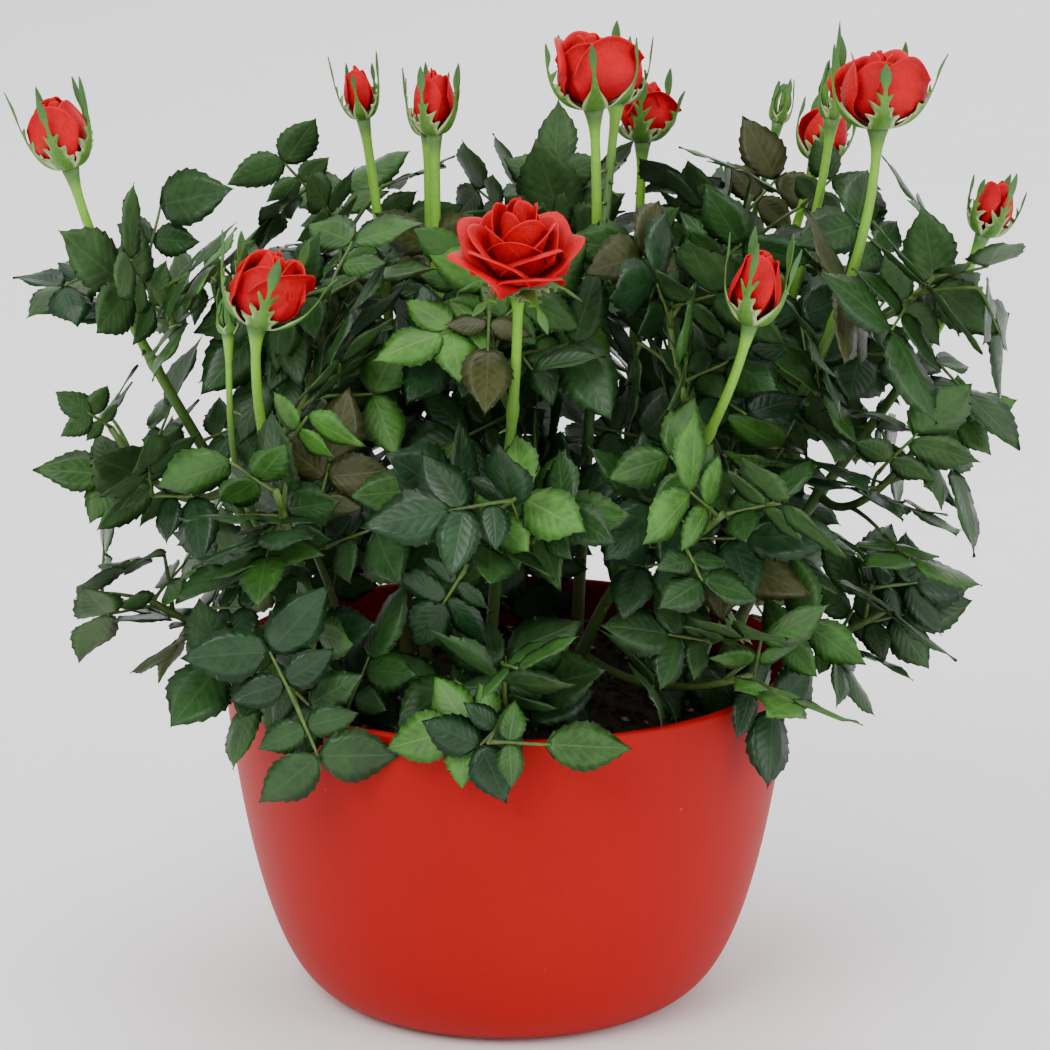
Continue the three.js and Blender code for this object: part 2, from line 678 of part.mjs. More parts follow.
// A shoot's own space: the points nearer to its centre than to any other, no further out than its reach.
function inOwnSpace( point, shoot ) {

	const from = point.clone().sub( shoot.middle );
	if ( from.clone().divide( shoot.radii ).length() > 1 ) return false;
	return shoot.borders.every( ( { towards, apart } ) => from.dot( towards ) < apart / 2 - leaflets.cellGap );

}

// Clear of the bowl and the potting mix. A leaf may hang over the rim, but it doesn't pass through the wall.
function clearOfBowl( points ) {

	const low = points.filter( ( point ) => point.z < bowl.height + 1.5 );
	const rim = ( { z } ) => bowlRadius( Math.max( 0, Math.min( z, bowl.height ) ) );
	const outside = low.filter( ( point ) => Math.hypot( point.x, point.y ) > rim( point ) + 1.5 );
	const within = bowl.rimRadius - bowl.wall - 4;
	const inside = low.filter( ( point ) => Math.hypot( point.x, point.y ) < within && point.z > mix.top + 1 );
	return outside.length === low.length || inside.length === low.length;

}

// A blade with its base, its long axis and its upward normal. Its midrib is a ridge that its two sides hang from.
function leafletOf( base, axis, normal, length ) {

	const side = new THREE.Vector3().crossVectors( normal, axis );
	const half = length * leaflets.widthShare / 2;
	const at = ( along, across, up ) => base.clone().addScaledVector( axis, along * length )
		.addScaledVector( side, across ).addScaledVector( normal, up * length );
	const corners = {
		base: at( 0, 0, 0 ),
		tip: at( 1, 0, 0 ),
		left: at( leaflets.widest, half, - leaflets.arch ),
		right: at( leaflets.widest, - half, - leaflets.arch ),
	};
	const { tip, left, right } = corners;
	return {
		base, axis, normal, side, length, half, corners,
		middle: at( 0.5, 0, 0 ),
		plates: [ [ base, tip, left ], [ base, right, tip ], [ base, left, right ], [ tip, right, left ] ],
		edges: [ [ base, left ], [ left, tip ], [ tip, right ], [ right, base ], [ base, tip ] ],
	};

}

// Whether the straight line from start to end passes through one of a blade's four faces.
function passesThrough( [ start, end ], blade ) {

	const towards = end.clone().sub( start );
	const ray = new THREE.Ray( start, towards.clone().normalize() );
	const hit = new THREE.Vector3();
	return blade.plates.some( ( [ a, b, c ] ) =>
		ray.intersectTriangle( a, b, c, false, hit ) && hit.distanceTo( start ) < towards.length() );

}

function crossing( one, other ) {

	if ( one.middle.distanceTo( other.middle ) > 0.55 * ( one.length + other.length ) ) return false;
	if ( one.middle.distanceTo( other.middle ) < 0.17 * ( one.length + other.length ) ) return true;
	return one.edges.some( ( edge ) => passesThrough( edge, other ) )
		|| other.edges.some( ( edge ) => passesThrough( edge, one ) );

}

function leafletFits( leaflet, shoot, grown ) {

	const { corners, base, axis, normal, side, length, half } = leaflet;
	const outline = [ corners.tip, corners.left, corners.right ];
	if ( ! outline.every( ( point ) => inOwnSpace( point, shoot ) ) ) return false;
	const spots = [];
	for ( const share of [ 0.1, 0.25, 0.42, 0.6, 0.8, 1 ] ) {

		const wide = share < leaflets.widest ? share / leaflets.widest : ( 1 - share ) / ( 1 - leaflets.widest );
		for ( const across of [ - 1, - 0.5, 0, 0.5, 1 ] ) spots.push( base.clone()
			.addScaledVector( axis, share * length ).addScaledVector( side, across * wide * half ) );

	}

	if ( ! clearOfBowl( spots ) ) return false;
	if ( grown.blades.some( ( other ) => crossing( leaflet, other ) ) ) return false;
	if ( grown.twigs.some( ( twig ) => passesThrough( twig, leaflet ) ) ) return false;
	return shoot.near.every( ( ball ) => {

		const room = ball.radius + leaflets.clearance;
		const from = ball.at.clone().sub( base );
		const along = from.dot( axis ) / length;
		const lip = room / length;
		if ( along < - lip || along > 1 + lip ) return true;
		if ( Math.abs( from.dot( normal ) ) > room + leaflets.arch * length ) return true;
		const wide = along < leaflets.widest ? along / leaflets.widest : ( 1 - along ) / ( 1 - leaflets.widest );
		return Math.abs( from.dot( side ) ) > Math.max( 0, wide ) * half + room;

	} );

}

function twigFits( [ from, end ], shoot, grown ) {

	if ( ! inOwnSpace( end, shoot ) ) return false;
	const spots = Array.from( { length: 12 }, ( _, k ) => from.clone().lerp( end, ( k + 1 ) / 12 ) );
	if ( ! clearOfBowl( spots ) ) return false;
	if ( grown.blades.some( ( blade ) => passesThrough( [ from, end ], blade ) ) ) return false;
	return shoot.near.every( ( ball ) => spots.every( ( spot ) =>
		spot.distanceTo( ball.at ) > ball.radius + leaflets.twigRadius + leaflets.clearance ) );

}

// One full leaf: a stalk with two pairs of leaflets and one at its end. The leaflets that would leave the shoot's
// space, touch a limb or cross another leaflet are left out.
function leafOf( shoot, from, direction, normal, length, grown ) {

	const lower = from.clone().addScaledVector( direction, length * leaflets.lowerStalk );
	const end = lower.clone().addScaledVector( direction, length * leaflets.upperStalk );
	if ( ! twigFits( [ from, end ], shoot, grown ) ) return null;
	const rows = [ { share: 1, turn: 0, size: 1, sink: 1.6 } ];
	for ( const hand of [ 1, - 1 ] ) {

		rows.push( { share: leaflets.secondPair, turn: 1.2 * hand, size: 0.84, sink: 0.25 } );
		rows.push( { share: 0, turn: 1.45 * hand, size: 0.56, sink: 0.25 } );

	}

	const made = [];
	for ( const { share, turn, size, sink } of rows ) {

		const axis = direction.clone().applyAxisAngle( normal, turn );
		const base = lower.clone().lerp( end, share ).addScaledVector( axis, - sink );
		const leaflet = leafletOf( base, axis, normal, length * size + sink );
		if ( leafletFits( leaflet, shoot, grown ) ) made.push( leaflet );

	}

	return { stalk: [ from, end ], normal, leaflets: made };

}

// How well a leaf fills the plant: the more leaflets it has and the further they are from all that are there.
const everyBlade = [];
function worth( leaf ) {

	return leaf.leaflets.reduce( ( sum, leaflet ) => sum + 1 + everyBlade.reduce( ( least, other ) =>
		Math.min( least, other.middle.distanceTo( leaflet.middle ) / 12 ), 2 ), 0 );

}

function bestOf( leaves ) {

	return leaves.reduce( ( best, leaf ) => worth( leaf ) > worth( best ) ? leaf : best );

}

// Leaves spring from the stem by the golden angle and turn their faces up and out. The first ones reach for the
// shoot's far tips. Each later one is the best of a few that the seeded rule draws.
function growShoot( shoot, index ) {

	const draw = seeded( leaflets.seed + index * 101 );
	const out = shoot.middle.clone().setZ( 0 ).normalize();
	const grown = { blades: [], twigs: [] };
	for ( let k = 0; k < 6; k ++ )
		grown.twigs.push( [ shoot.line.getPoint( k / 6 ), shoot.line.getPoint( ( k + 1 ) / 6 ) ] );

	const leaves = [];
	const facing = ( direction ) => {

		const normal = new THREE.Vector3( draw() - 0.5, draw() - 0.5, 0.6 ).addScaledVector( out, 0.85 );
		return normal.addScaledVector( direction, - normal.dot( direction ) ).normalize();

	};

	const keep = ( leaf ) => {

		leaves.push( leaf );
		grown.blades.push( ...leaf.leaflets );
		everyBlade.push( ...leaf.leaflets );
		grown.twigs.push( leaf.stalk );

	};

	const whole = 1 + leaflets.lowerStalk + leaflets.upperStalk;
	for ( const tip of shoot.tips ?? [] ) {

		const choices = [ 0.5, 0.6, 0.7, 0.8, 0.9, 1 ].map( ( along ) => {

			const from = shoot.line.getPoint( along );
			const towards = vector( tip ).sub( from );
			const length = towards.length() / whole;
			towards.normalize();
			return leafOf( shoot, from, towards, facing( towards ), length, grown );

		} ).filter( ( leaf ) => leaf?.leaflets.length );
		if ( choices.length ) keep( bestOf( choices ) );

	}

	for ( let round = 0; round < leaflets.rounds && grown.blades.length < leaflets.mostOnShoot; round ++ ) {

		const choices = [];
		for ( let k = 0; k < leaflets.choices; k ++ ) {

			const along = 0.3 + 0.7 * draw();
			const ahead = shoot.line.getTangent( along );
			const { side, lift } = framed( ahead );
			const cos = 1.5 * draw() - 0.6;
			const sin = Math.sqrt( Math.max( 0, 1 - cos * cos ) );
			const turn = ( round * leaflets.choices + k ) * leaflets.goldenAngle + index;
			const direction = ahead.clone().multiplyScalar( cos ).addScaledVector( side, sin * Math.cos( turn ) );
			direction.addScaledVector( lift, sin * Math.sin( turn ) ).normalize();
			const length = leaflets.length * ( 1 + leaflets.spread * ( draw() - 0.6 ) );
			const leaf = leafOf( shoot, shoot.line.getPoint( along ), direction, facing( direction ), length, grown );
			if ( leaf && leaf.leaflets.length > 2 ) choices.push( leaf );

		}

		if ( choices.length ) keep( bestOf( choices ) );

	}

	return leaves;

}

function shootSolid( shoot, leaves ) {

	const shapes = [ limb( shoot.line, stemRadius, leaflets.sides ) ];
	for ( const leaf of leaves ) {

		const stalk = jointed( new THREE.LineCurve3( ...leaf.stalk ), [ 0, 1 ] );
		shapes.push( limb( stalk, () => leaflets.twigRadius, leaflets.sides, { up: leaf.normal } ) );
		shapes.push( ...leaf.leaflets.map( ( leaflet ) => blade( leaflet.corners ) ) );

	}

	return largestBody( wasm.Manifold.union( shapes.map( solidOf ) ).simplify( 0.01 ) );

}

for ( const shoot of shoots ) {

	shoot.middle = vector( shoot.centre );
	shoot.radii = vector( shoot.reach );

}

for ( const shoot of shoots ) {

	shoot.borders = shoots.filter( ( other ) => other !== shoot ).map( ( other ) => {

		const towards = other.middle.clone().sub( shoot.middle );
		const apart = towards.length();
		return { towards: towards.normalize(), apart };

	} );
	const near = Math.max( ...shoot.reach ) + 12;
	shoot.near = balls.filter( ( ball ) => ball.shoot !== shoot && ball.at.distanceTo( shoot.middle ) < near );

}

shoots.forEach( ( shoot, index ) => {

	add( `foliage_${ shoot.name }`, geometryOf( shootSolid( shoot, growShoot( shoot, index ) ) ), materials.leaf );

} );

export default rose;
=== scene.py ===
# A miniature rose bush in a round red plastic bowl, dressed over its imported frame.
# The frame is in metres with +Z up and the front facing -Y; the shapes below are worked out in millimetres.
import bpy
import numpy as np
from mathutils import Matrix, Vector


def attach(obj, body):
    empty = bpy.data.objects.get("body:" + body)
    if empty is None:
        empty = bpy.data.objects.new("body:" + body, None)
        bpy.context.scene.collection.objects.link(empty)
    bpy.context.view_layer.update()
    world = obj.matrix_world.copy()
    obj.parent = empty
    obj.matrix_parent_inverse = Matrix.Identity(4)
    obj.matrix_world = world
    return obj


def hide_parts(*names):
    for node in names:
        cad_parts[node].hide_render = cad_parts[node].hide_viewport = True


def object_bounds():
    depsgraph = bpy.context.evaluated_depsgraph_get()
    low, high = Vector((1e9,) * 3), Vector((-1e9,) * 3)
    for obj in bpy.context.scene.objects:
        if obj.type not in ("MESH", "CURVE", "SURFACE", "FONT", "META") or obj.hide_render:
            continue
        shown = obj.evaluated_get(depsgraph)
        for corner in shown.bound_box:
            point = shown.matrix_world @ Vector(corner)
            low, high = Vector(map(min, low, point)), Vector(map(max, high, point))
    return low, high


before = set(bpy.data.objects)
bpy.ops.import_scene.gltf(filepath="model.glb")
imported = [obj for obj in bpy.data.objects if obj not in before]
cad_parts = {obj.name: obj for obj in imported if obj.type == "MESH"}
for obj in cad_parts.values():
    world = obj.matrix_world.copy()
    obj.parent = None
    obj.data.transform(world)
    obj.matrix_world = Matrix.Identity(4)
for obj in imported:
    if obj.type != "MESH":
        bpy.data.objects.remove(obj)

cadLow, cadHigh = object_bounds()
millimetre = 0.001
fullTurn = 2 * np.pi


def unit(v):
    return v / np.maximum(np.linalg.norm(v, axis=-1, keepdims=True), 1e-12)


def dot(a, b):
    return (a * b).sum(-1)


def array(values):
    return np.array(values, float)


# Two directions square to a limb: level x tangent, then tangent x that.
def framed(tangent):
    level = np.where(np.abs(tangent[..., 1:2]) < 0.8, [0.0, 1.0, 0.0], [1.0, 0.0, 0.0])
    side = unit(np.cross(level, tangent))
    return side, np.cross(tangent, side)


# A point on a Bezier curve: neighbouring corners are mixed by the share t until one is left.
def bezier(corners, t):
    layers = [array(corner) + 0 * t[:, None] for corner in corners]
    while len(layers) > 1:
        layers = [a + (b - a) * t[:, None] for a, b in zip(layers, layers[1:])]
    return layers[0]


def bezierTangent(corners, t):
    return unit(bezier([array(b) - array(a) for a, b in zip(corners, corners[1:])], t))


# A point on the straight pieces between a curve's stations.
def jointedPoint(corners, stations, t):
    knots = bezier(corners, array(stations))
    return np.stack([np.interp(t, stations, knots[:, i]) for i in range(3)], -1)


# Numbers from 0 to 1 that are the same in every run: a counter steps by an odd constant, and its bits are
# mixed twice.
def seededNumbers(seed):
    taken = [0]
    mask = np.uint64(0xFFFFFFFF)

    def draw(*shape):
        count = int(np.prod(shape))
        step = np.arange(taken[0] + 1, taken[0] + count + 1, dtype=np.uint64)
        taken[0] += count
        t = (np.uint64(seed) + step * np.uint64(0x6D2B79F5)) & mask
        t = ((t ^ (t >> np.uint64(15))) * (t | np.uint64(1))) & mask
        t = t ^ ((t + (((t ^ (t >> np.uint64(7))) * (t | np.uint64(61))) & mask)) & mask)
        return ((t ^ (t >> np.uint64(14))) & mask).reshape(shape) / 4294967296.0

    return draw


# The turn that carries +Z onto an axis: 1 + K + K K / (1 + cos), with K the cross product with z x axis.
def uprightTo(axis):
    v = np.cross([0, 0, 1.0], axis)
    k = array([[0, -v[2], v[1]], [v[2], 0, -v[0]], [-v[1], v[0], 0]])
    return np.eye(3) + k + k @ k / (1 + axis[2])


# A mesh piece at the origin. faceSets are arrays of faces, one array for each number of corners.
def makePiece(name, points, faceSets, materials, replaced, uv=None, faceMaterials=None):
    faceSets = [np.asarray(faces) for faces in faceSets if len(faces)]
    corners = np.concatenate([faces.reshape(-1) for faces in faceSets]).astype(np.int32)
    sizes = np.concatenate([np.full(len(faces), faces.shape[1]) for faces in faceSets])
    starts = np.concatenate([[0], np.cumsum(sizes)[:-1]]).astype(np.int32)
    mesh = bpy.data.meshes.new(name)
    mesh.vertices.add(len(points))
    mesh.vertices.foreach_set("co", (points * millimetre).astype(np.float32).ravel())
    mesh.loops.add(len(corners))
    mesh.loops.foreach_set("vertex_index", corners)
    mesh.polygons.add(len(sizes))
    mesh.polygons.foreach_set("loop_start", starts)
    mesh.update(calc_edges=True)
    mesh.polygons.foreach_set("use_smooth", np.ones(len(sizes), bool))
    for material in materials:
        mesh.materials.append(material)
    if faceMaterials is not None:
        mesh.polygons.foreach_set("material_index", np.asarray(faceMaterials, np.int32))
    if uv is not None:
        layer = mesh.uv_layers.new(name="surface")
        layer.data.foreach_set("uv", uv[corners].astype(np.float32).ravel())
    piece = bpy.data.objects.new(name, mesh)
    bpy.context.scene.collection.objects.link(piece)
    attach(piece, "root")
    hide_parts(*replaced)
    return piece


# Faces of one template repeated for each of count copies that have size points each.
def repeated(faces, count, size):
    return (faces[None] + np.arange(count)[:, None, None] * size).reshape(-1, faces.shape[1])


# The four-cornered faces between neighbouring rings of points.
def ringQuads(rings, sides):
    first = np.arange(rings - 1)[:, None] * sides
    start = (first + np.arange(sides)).ravel()
    after = (first + (np.arange(sides) + 1) % sides).ravel()
    return np.stack([start, after, after + sides, start + sides], -1)


# Many tubes at once. lines are (tube, station, xyz), radii (tube, station). Each ring is the point plus
# radius * (side * cos a + lift * sin a), with the side square to the tube's chord, and the ends are capped.
def tubes(lines, radii, sides):
    count, stations = radii.shape
    tangent = unit(np.gradient(lines, axis=1))
    chord = unit(lines[:, -1] - lines[:, 0])
    guide = framed(chord)[0]
    side = unit(np.cross(guide[:, None], tangent))
    lift = np.cross(tangent, side)
    angle = np.arange(sides) * fullTurn / sides
    ring = side[:, :, None] * np.cos(angle)[:, None] + lift[:, :, None] * np.sin(angle)[:, None]
    points = (lines[:, :, None] + ring * radii[:, :, None, None]).reshape(-1, 3)
    caps = np.stack([np.arange(sides)[::-1], np.arange(sides) + (stations - 1) * sides])
    size = stations * sides
    along = np.repeat(np.linspace(0, 1, stations), sides)
    around = np.tile(np.linspace(0, 1, sides), stations)
    uv = np.tile(np.stack([along, around], -1), (count, 1))
    return points, [repeated(ringQuads(stations, sides), count, size), repeated(caps, count, size)], uv


# Many thin closed sheets at once. grid is (sheet, row, column, xyz). Each point moves half the thickness
# along the cross product of its row and column steps, up for the outer face and down for the inner one.
def closedSheets(grid, thickness):
    count, rows, columns, _ = grid.shape
    normal = unit(np.cross(np.gradient(grid, axis=1), np.gradient(grid, axis=2)))
    layers = np.stack([grid + normal * thickness / 2, grid - normal * thickness / 2], 1)
    index = np.arange(rows * columns).reshape(rows, columns)
    quads = np.stack([index[:-1, :-1], index[1:, :-1], index[1:, 1:], index[:-1, 1:]], -1).reshape(-1, 4)
    under = quads[:, ::-1] + rows * columns
    edge = np.concatenate([index[:-1, 0], index[-1, :-1], index[:0:-1, -1], index[0, :0:-1]])
    after = np.roll(edge, -1)
    rim = np.stack([edge + rows * columns, after + rows * columns, after, edge], -1)
    across, along = np.meshgrid(np.linspace(0, 1, columns), np.linspace(0, 1, rows))
    uv = np.tile(np.stack([along, across], -1).reshape(-1, 2), (2 * count, 1))
    faces = repeated(np.concatenate([quads, under, rim]), count, 2 * rows * columns)
    return layers.reshape(-1, 3), [faces], uv


# A turned shape: rings of the profile's radius at its heights, closed by a fan at each end on the axis.
def turned(profile, segments):
    profile = array(profile)
    angle = np.arange(segments) * fullTurn / segments
    rings = profile[1:-1]
    circles = [rings[:, :1] * np.cos(angle), rings[:, :1] * np.sin(angle), rings[:, 1:] + 0 * angle]
    points = np.stack(circles, -1).reshape(-1, 3)
    first = np.arange(segments)
    after = (first + 1) % segments
    last = (len(rings) - 1) * segments
    lowFan = np.stack([np.full(segments, len(points)), after, first], -1)
    highFan = np.stack([np.full(segments, len(points) + 1), first + last, after + last], -1)
    poles = array([[0, 0, profile[0, 1]], [0, 0, profile[-1, 1]]])
    fans = np.concatenate([lowFan, highFan])
    return np.concatenate([points, poles]), [ringQuads(len(rings), segments), fans]


# Several meshes as one, with the faces grouped by their number of corners.
def joined(parts):
    offset = 0
    points, faces, uvs = [], {}, []
    for partPoints, faceSets, uv in parts:
        for faceSet in faceSets:
            if len(faceSet):
                faces.setdefault(faceSet.shape[1], []).append(faceSet + offset)
        points.append(partPoints)
        uvs.append(uv)
        offset += len(partPoints)
    return np.concatenate(points), [np.concatenate(sets) for sets in faces.values()], np.concatenate(uvs)


class Shading:
    # A material or a group being wired: add() makes a node, sets its values and links its inputs.
    def __init__(self, tree):
        self.tree = tree

    def feed(self, socket, value):
        if isinstance(value, bpy.types.NodeSocket):
            self.tree.links.new(value, socket)
        else:
            socket.default_value = value

    def add(self, kind, inputs=None, **settings):
        node = self.tree.nodes.new(kind)
        for name, value in settings.items():
            setattr(node, name, value)
        for socket, value in (inputs or {}).items():
            self.feed(node.inputs[socket], value)
        return node

    def group(self, tree, inputs):
        return self.add("ShaderNodeGroup", inputs, node_tree=tree).outputs

    def math(self, operation, a, b=0.0, c=0.0):
        return self.add("ShaderNodeMath", {0: a, 1: b, 2: c}, operation=operation).outputs[0]

    def ramp(self, value, low, high, start=0.0, end=1.0):
        inputs = {"Value": value, "From Min": low, "From Max": high, "To Min": start, "To Max": end}
        return self.add("ShaderNodeMapRange", inputs, interpolation_type="SMOOTHSTEP").outputs[0]

    def mix(self, share, a, b):
        node = self.add("ShaderNodeMix", {0: share}, data_type="RGBA")
        for socket, colour in ((6, a), (7, b)):
            isLink = isinstance(colour, bpy.types.NodeSocket)
            self.feed(node.inputs[socket], colour if isLink else (*colour, 1))
        return node.outputs[2]

    def noise(self, vector, scale, detail=3.0):
        inputs = {"Vector": vector, "Scale": scale, "Detail": detail, "Roughness": 0.55}
        return self.add("ShaderNodeTexNoise", inputs).outputs[0]

    # How far along the surface a point lies, and how far from its middle line, both from 0 to 1.
    def alongAndAcross(self, surface):
        split = self.add("ShaderNodeSeparateXYZ", {0: surface})
        across = self.math("ABSOLUTE", self.math("MULTIPLY_ADD", split.outputs[1], 2.0, -1.0))
        return split.outputs[0], across


def newMaterial(name):
    material = bpy.data.materials.new(name)
    material.use_nodes = True
    material.node_tree.nodes.clear()
    shading = Shading(material.node_tree)
    place = shading.add("ShaderNodeTexCoord").outputs["Object"]
    surface = shading.add("ShaderNodeUVMap", uv_map="surface").outputs[0]
    return material, shading, place, surface


# The shader of a finish. Its relief comes from height, and its fixed numbers are set on its own sockets.
def finishMaterial(shading, colour, roughness, finish, height=None):
    inputs = {"Base Color": colour, "Roughness": roughness, "Specular IOR Level": finish["specular"]}
    inputs.update(finish.get("constants", {}))
    principled = shading.add("ShaderNodeBsdfPrincipled", inputs)
    if height is not None:
        relief = {"Height": height, "Strength": finish["relief"], "Distance": finish["depth"]}
        shading.feed(principled.inputs["Normal"], shading.add("ShaderNodeBump", relief).outputs[0])
    shading.add("ShaderNodeOutputMaterial", {0: principled.outputs[0]})


def newGroup(name, inputs, outputs):
    group = bpy.data.node_groups.new(name, "ShaderNodeTree")
    for socket, kind in inputs.items():
        group.interface.new_socket(socket, in_out="INPUT", socket_type=kind)
    for socket in outputs:
        group.interface.new_socket(socket, in_out="OUTPUT", socket_type="NodeSocketFloat")
    shading = Shading(group)
    return group, shading, shading.add("NodeGroupInput").outputs, shading.add("NodeGroupOutput").inputs


# Veins: a midrib where |across| is small, and side veins where along * count - |across| * slant is near a
# whole number. The blade swells between them.
def veinGroup():
    sockets = {"Surface": "NodeSocketVector", "Count": "NodeSocketFloat", "Slant": "NodeSocketFloat"}
    group, shading, start, end = newGroup("leafVeins", sockets, ["Veins", "Swell"])
    along, across = shading.alongAndAcross(start["Surface"])
    lines = shading.math("MULTIPLY", along, start["Count"])
    lines = shading.math("SUBTRACT", lines, shading.math("MULTIPLY", across, start["Slant"]))
    away = shading.math("PINGPONG", lines, 0.5)
    fading = shading.ramp(across, 0.75, 1.0, 0.55, 0.0)
    sideVein = shading.math("MULTIPLY", shading.ramp(away, 0.0, 0.1, 1.0, 0.0), fading)
    midrib = shading.ramp(across, 0.015, 0.075, 1.0, 0.0)
    swell = shading.math("MULTIPLY", shading.ramp(away, 0.0, 0.5), shading.ramp(across, 0.0, 0.3))
    shading.feed(end["Veins"], shading.math("MAXIMUM", midrib, sideVein))
    shading.feed(end["Swell"], swell)
    return group


# Mottling: two sizes of noise, mixed into one tone round 0.5.
def mottleGroup():
    sockets = {"Place": "NodeSocketVector", "Coarse": "NodeSocketFloat", "Fine": "NodeSocketFloat"}
    group, shading, start, end = newGroup("mottling", sockets, ["Tone", "Grain"])
    coarse = shading.noise(start["Place"], start["Coarse"])
    fine = shading.noise(start["Place"], start["Fine"], 4.0)
    tone = shading.math("MULTIPLY_ADD", fine, 0.4, shading.math("MULTIPLY", coarse, 0.6))
    shading.feed(end["Tone"], shading.ramp(tone, 0.3, 0.7))
    shading.feed(end["Grain"], fine)
    return group


leafVeins = veinGroup()
mottling = mottleGroup()


# The mottling of a finish: its tone, and its grain.
def mottled(shading, place, finish):
    outputs = shading.group(mottling, {"Place": place, "Coarse": finish["coarse"], "Fine": finish["fine"]})
    return outputs["Tone"], outputs["Grain"]


# A finish of two mottled colours with a fine grain.
def grainyMaterial(name, finish):
    material, shading, place, _ = newMaterial(name)
    tone, grain = mottled(shading, place, finish)
    base = shading.mix(tone, finish["dark"], finish["light"])
    roughness = shading.ramp(grain, 0.3, 0.7, *finish["roughness"])
    finishMaterial(shading, base, roughness, finish, grain)
    return material


bowl = dict(height=100.0, rimRadius=82.5, baseRadius=43.8, footInset=0.9, footRise=0.35, wall=2.6, floor=3.5,
            sidePower=1.26, footPower=2.9, segments=192, rings=56, crestRings=7, innerRings=24)
bowlFinish = dict(dark=(0.31, 0.0015, 0.0015), light=(0.36, 0.002, 0.002), coarse=9.0, fine=900.0,
                  speckScale=260.0, speck=(0.52, 0.09, 0.07), roughness=(0.48, 0.55), specular=0.3,
                  constants={"IOR": 1.3}, relief=0.12, depth=0.0004)
mix = dict(top=88.0, edgeDrop=3.0, dropFrom=62.0, dropOver=16.0, radius=79.2, gap=0.25, rings=70,
           segments=260, sideRings=12, bumps=0.9, crumbs=900, crumbSize=(0.5, 1.7), crumbFlat=0.8,
           paleBits=130, bitSize=(0.6, 1.5), bitFlat=0.6)
peatFinish = dict(dark=(0.012, 0.008, 0.005), light=(0.055, 0.034, 0.02), coarse=180.0, fine=1100.0,
                  roughness=(0.85, 1.0), specular=0.25, relief=0.8, depth=0.001)
paleFinish = dict(peatFinish, dark=(0.26, 0.20, 0.12), light=(0.60, 0.50, 0.34))


def bowlMaterial():
    material, shading, place, _ = newMaterial("satinRedPlastic")
    tone, grain = mottled(shading, place, bowlFinish)
    base = shading.mix(tone, bowlFinish["dark"], bowlFinish["light"])
    specks = shading.ramp(shading.noise(place, bowlFinish["speckScale"], 2.0), 0.76, 0.8, 0.0, 0.5)
    base = shading.mix(specks, base, bowlFinish["speck"])
    roughness = shading.ramp(tone, 0.0, 1.0, *bowlFinish["roughness"])
    finishMaterial(shading, base, roughness, bowlFinish, grain)
    return material


# The outside radius of the bowl at a height: it turns out of its flat foot and rises to the rim.
def bowlRadius(z):
    rise = 1 - (1 - z / bowl["height"]) ** bowl["sidePower"]
    return bowl["baseRadius"] + (bowl["rimRadius"] - bowl["baseRadius"]) * rise ** (1 / bowl["footPower"])


# The bowl's profile: foot, outside wall, half a circle over the rim, and the inside wall down to the floor.
def buildBowl():
    lip = bowl["wall"] / 2
    z = (bowl["height"] - lip) * np.linspace(0, 1, bowl["rings"]) ** 2.2
    outside = np.stack([bowlRadius(z), z], -1)
    outside[0] = (bowl["baseRadius"], bowl["footRise"])
    foot = [(bowl["baseRadius"] - bowl["footInset"], 0.0)]
    angle = np.linspace(0, np.pi, bowl["crestRings"] + 2)[1:-1]
    crestRadius = bowl["rimRadius"] - lip + lip * np.cos(angle) * 0.98
    crest = np.stack([crestRadius, bowl["height"] - lip + lip * np.sin(angle)], -1)
    inner = np.linspace(1, 0, bowl["innerRings"]) ** 1.7
    z = bowl["floor"] + (bowl["height"] - lip - bowl["floor"]) * inner
    inside = np.stack([bowlRadius(z) - bowl["wall"], z], -1)
    profile = np.concatenate([[(0, 0)], foot, outside, crest, inside, [(0, bowl["floor"])]])
    points, faces = turned(profile, bowl["segments"])
    makePiece("red_bowl", points, faces, [bowlMaterial()], ["bowl"])


# Smooth noise on a plane: random heights on a lattice, mixed by eased shares of the cell.
def latticeNoise(x, y, cell, seed):
    heights = np.random.default_rng(seed).uniform(-1, 1, (64, 64))
    gx, gy = x / cell + 32, y / cell + 32
    ix, iy = np.floor(gx).astype(int) % 63, np.floor(gy).astype(int) % 63
    ease = lambda t: t * t * (3 - 2 * t)
    fx, fy = ease(gx - np.floor(gx)), ease(gy - np.floor(gy))
    low = heights[ix, iy] * (1 - fx) + heights[ix + 1, iy] * fx
    high = heights[ix, iy + 1] * (1 - fx) + heights[ix + 1, iy + 1] * fx
    return low * (1 - fy) + high * fy


# The height of the mix: level, falling towards the wall, with bumps of three sizes.
def mixHeight(x, y):
    radius = np.hypot(x, y)
    fall = mix["edgeDrop"] * np.clip((radius - mix["dropFrom"]) / mix["dropOver"], 0, 1)
    bumps = latticeNoise(x, y, 9, 1) + 0.6 * latticeNoise(x, y, 4, 2) + 0.35 * latticeNoise(x, y, 2.4, 3)
    return mix["top"] - fall + bumps * mix["bumps"]


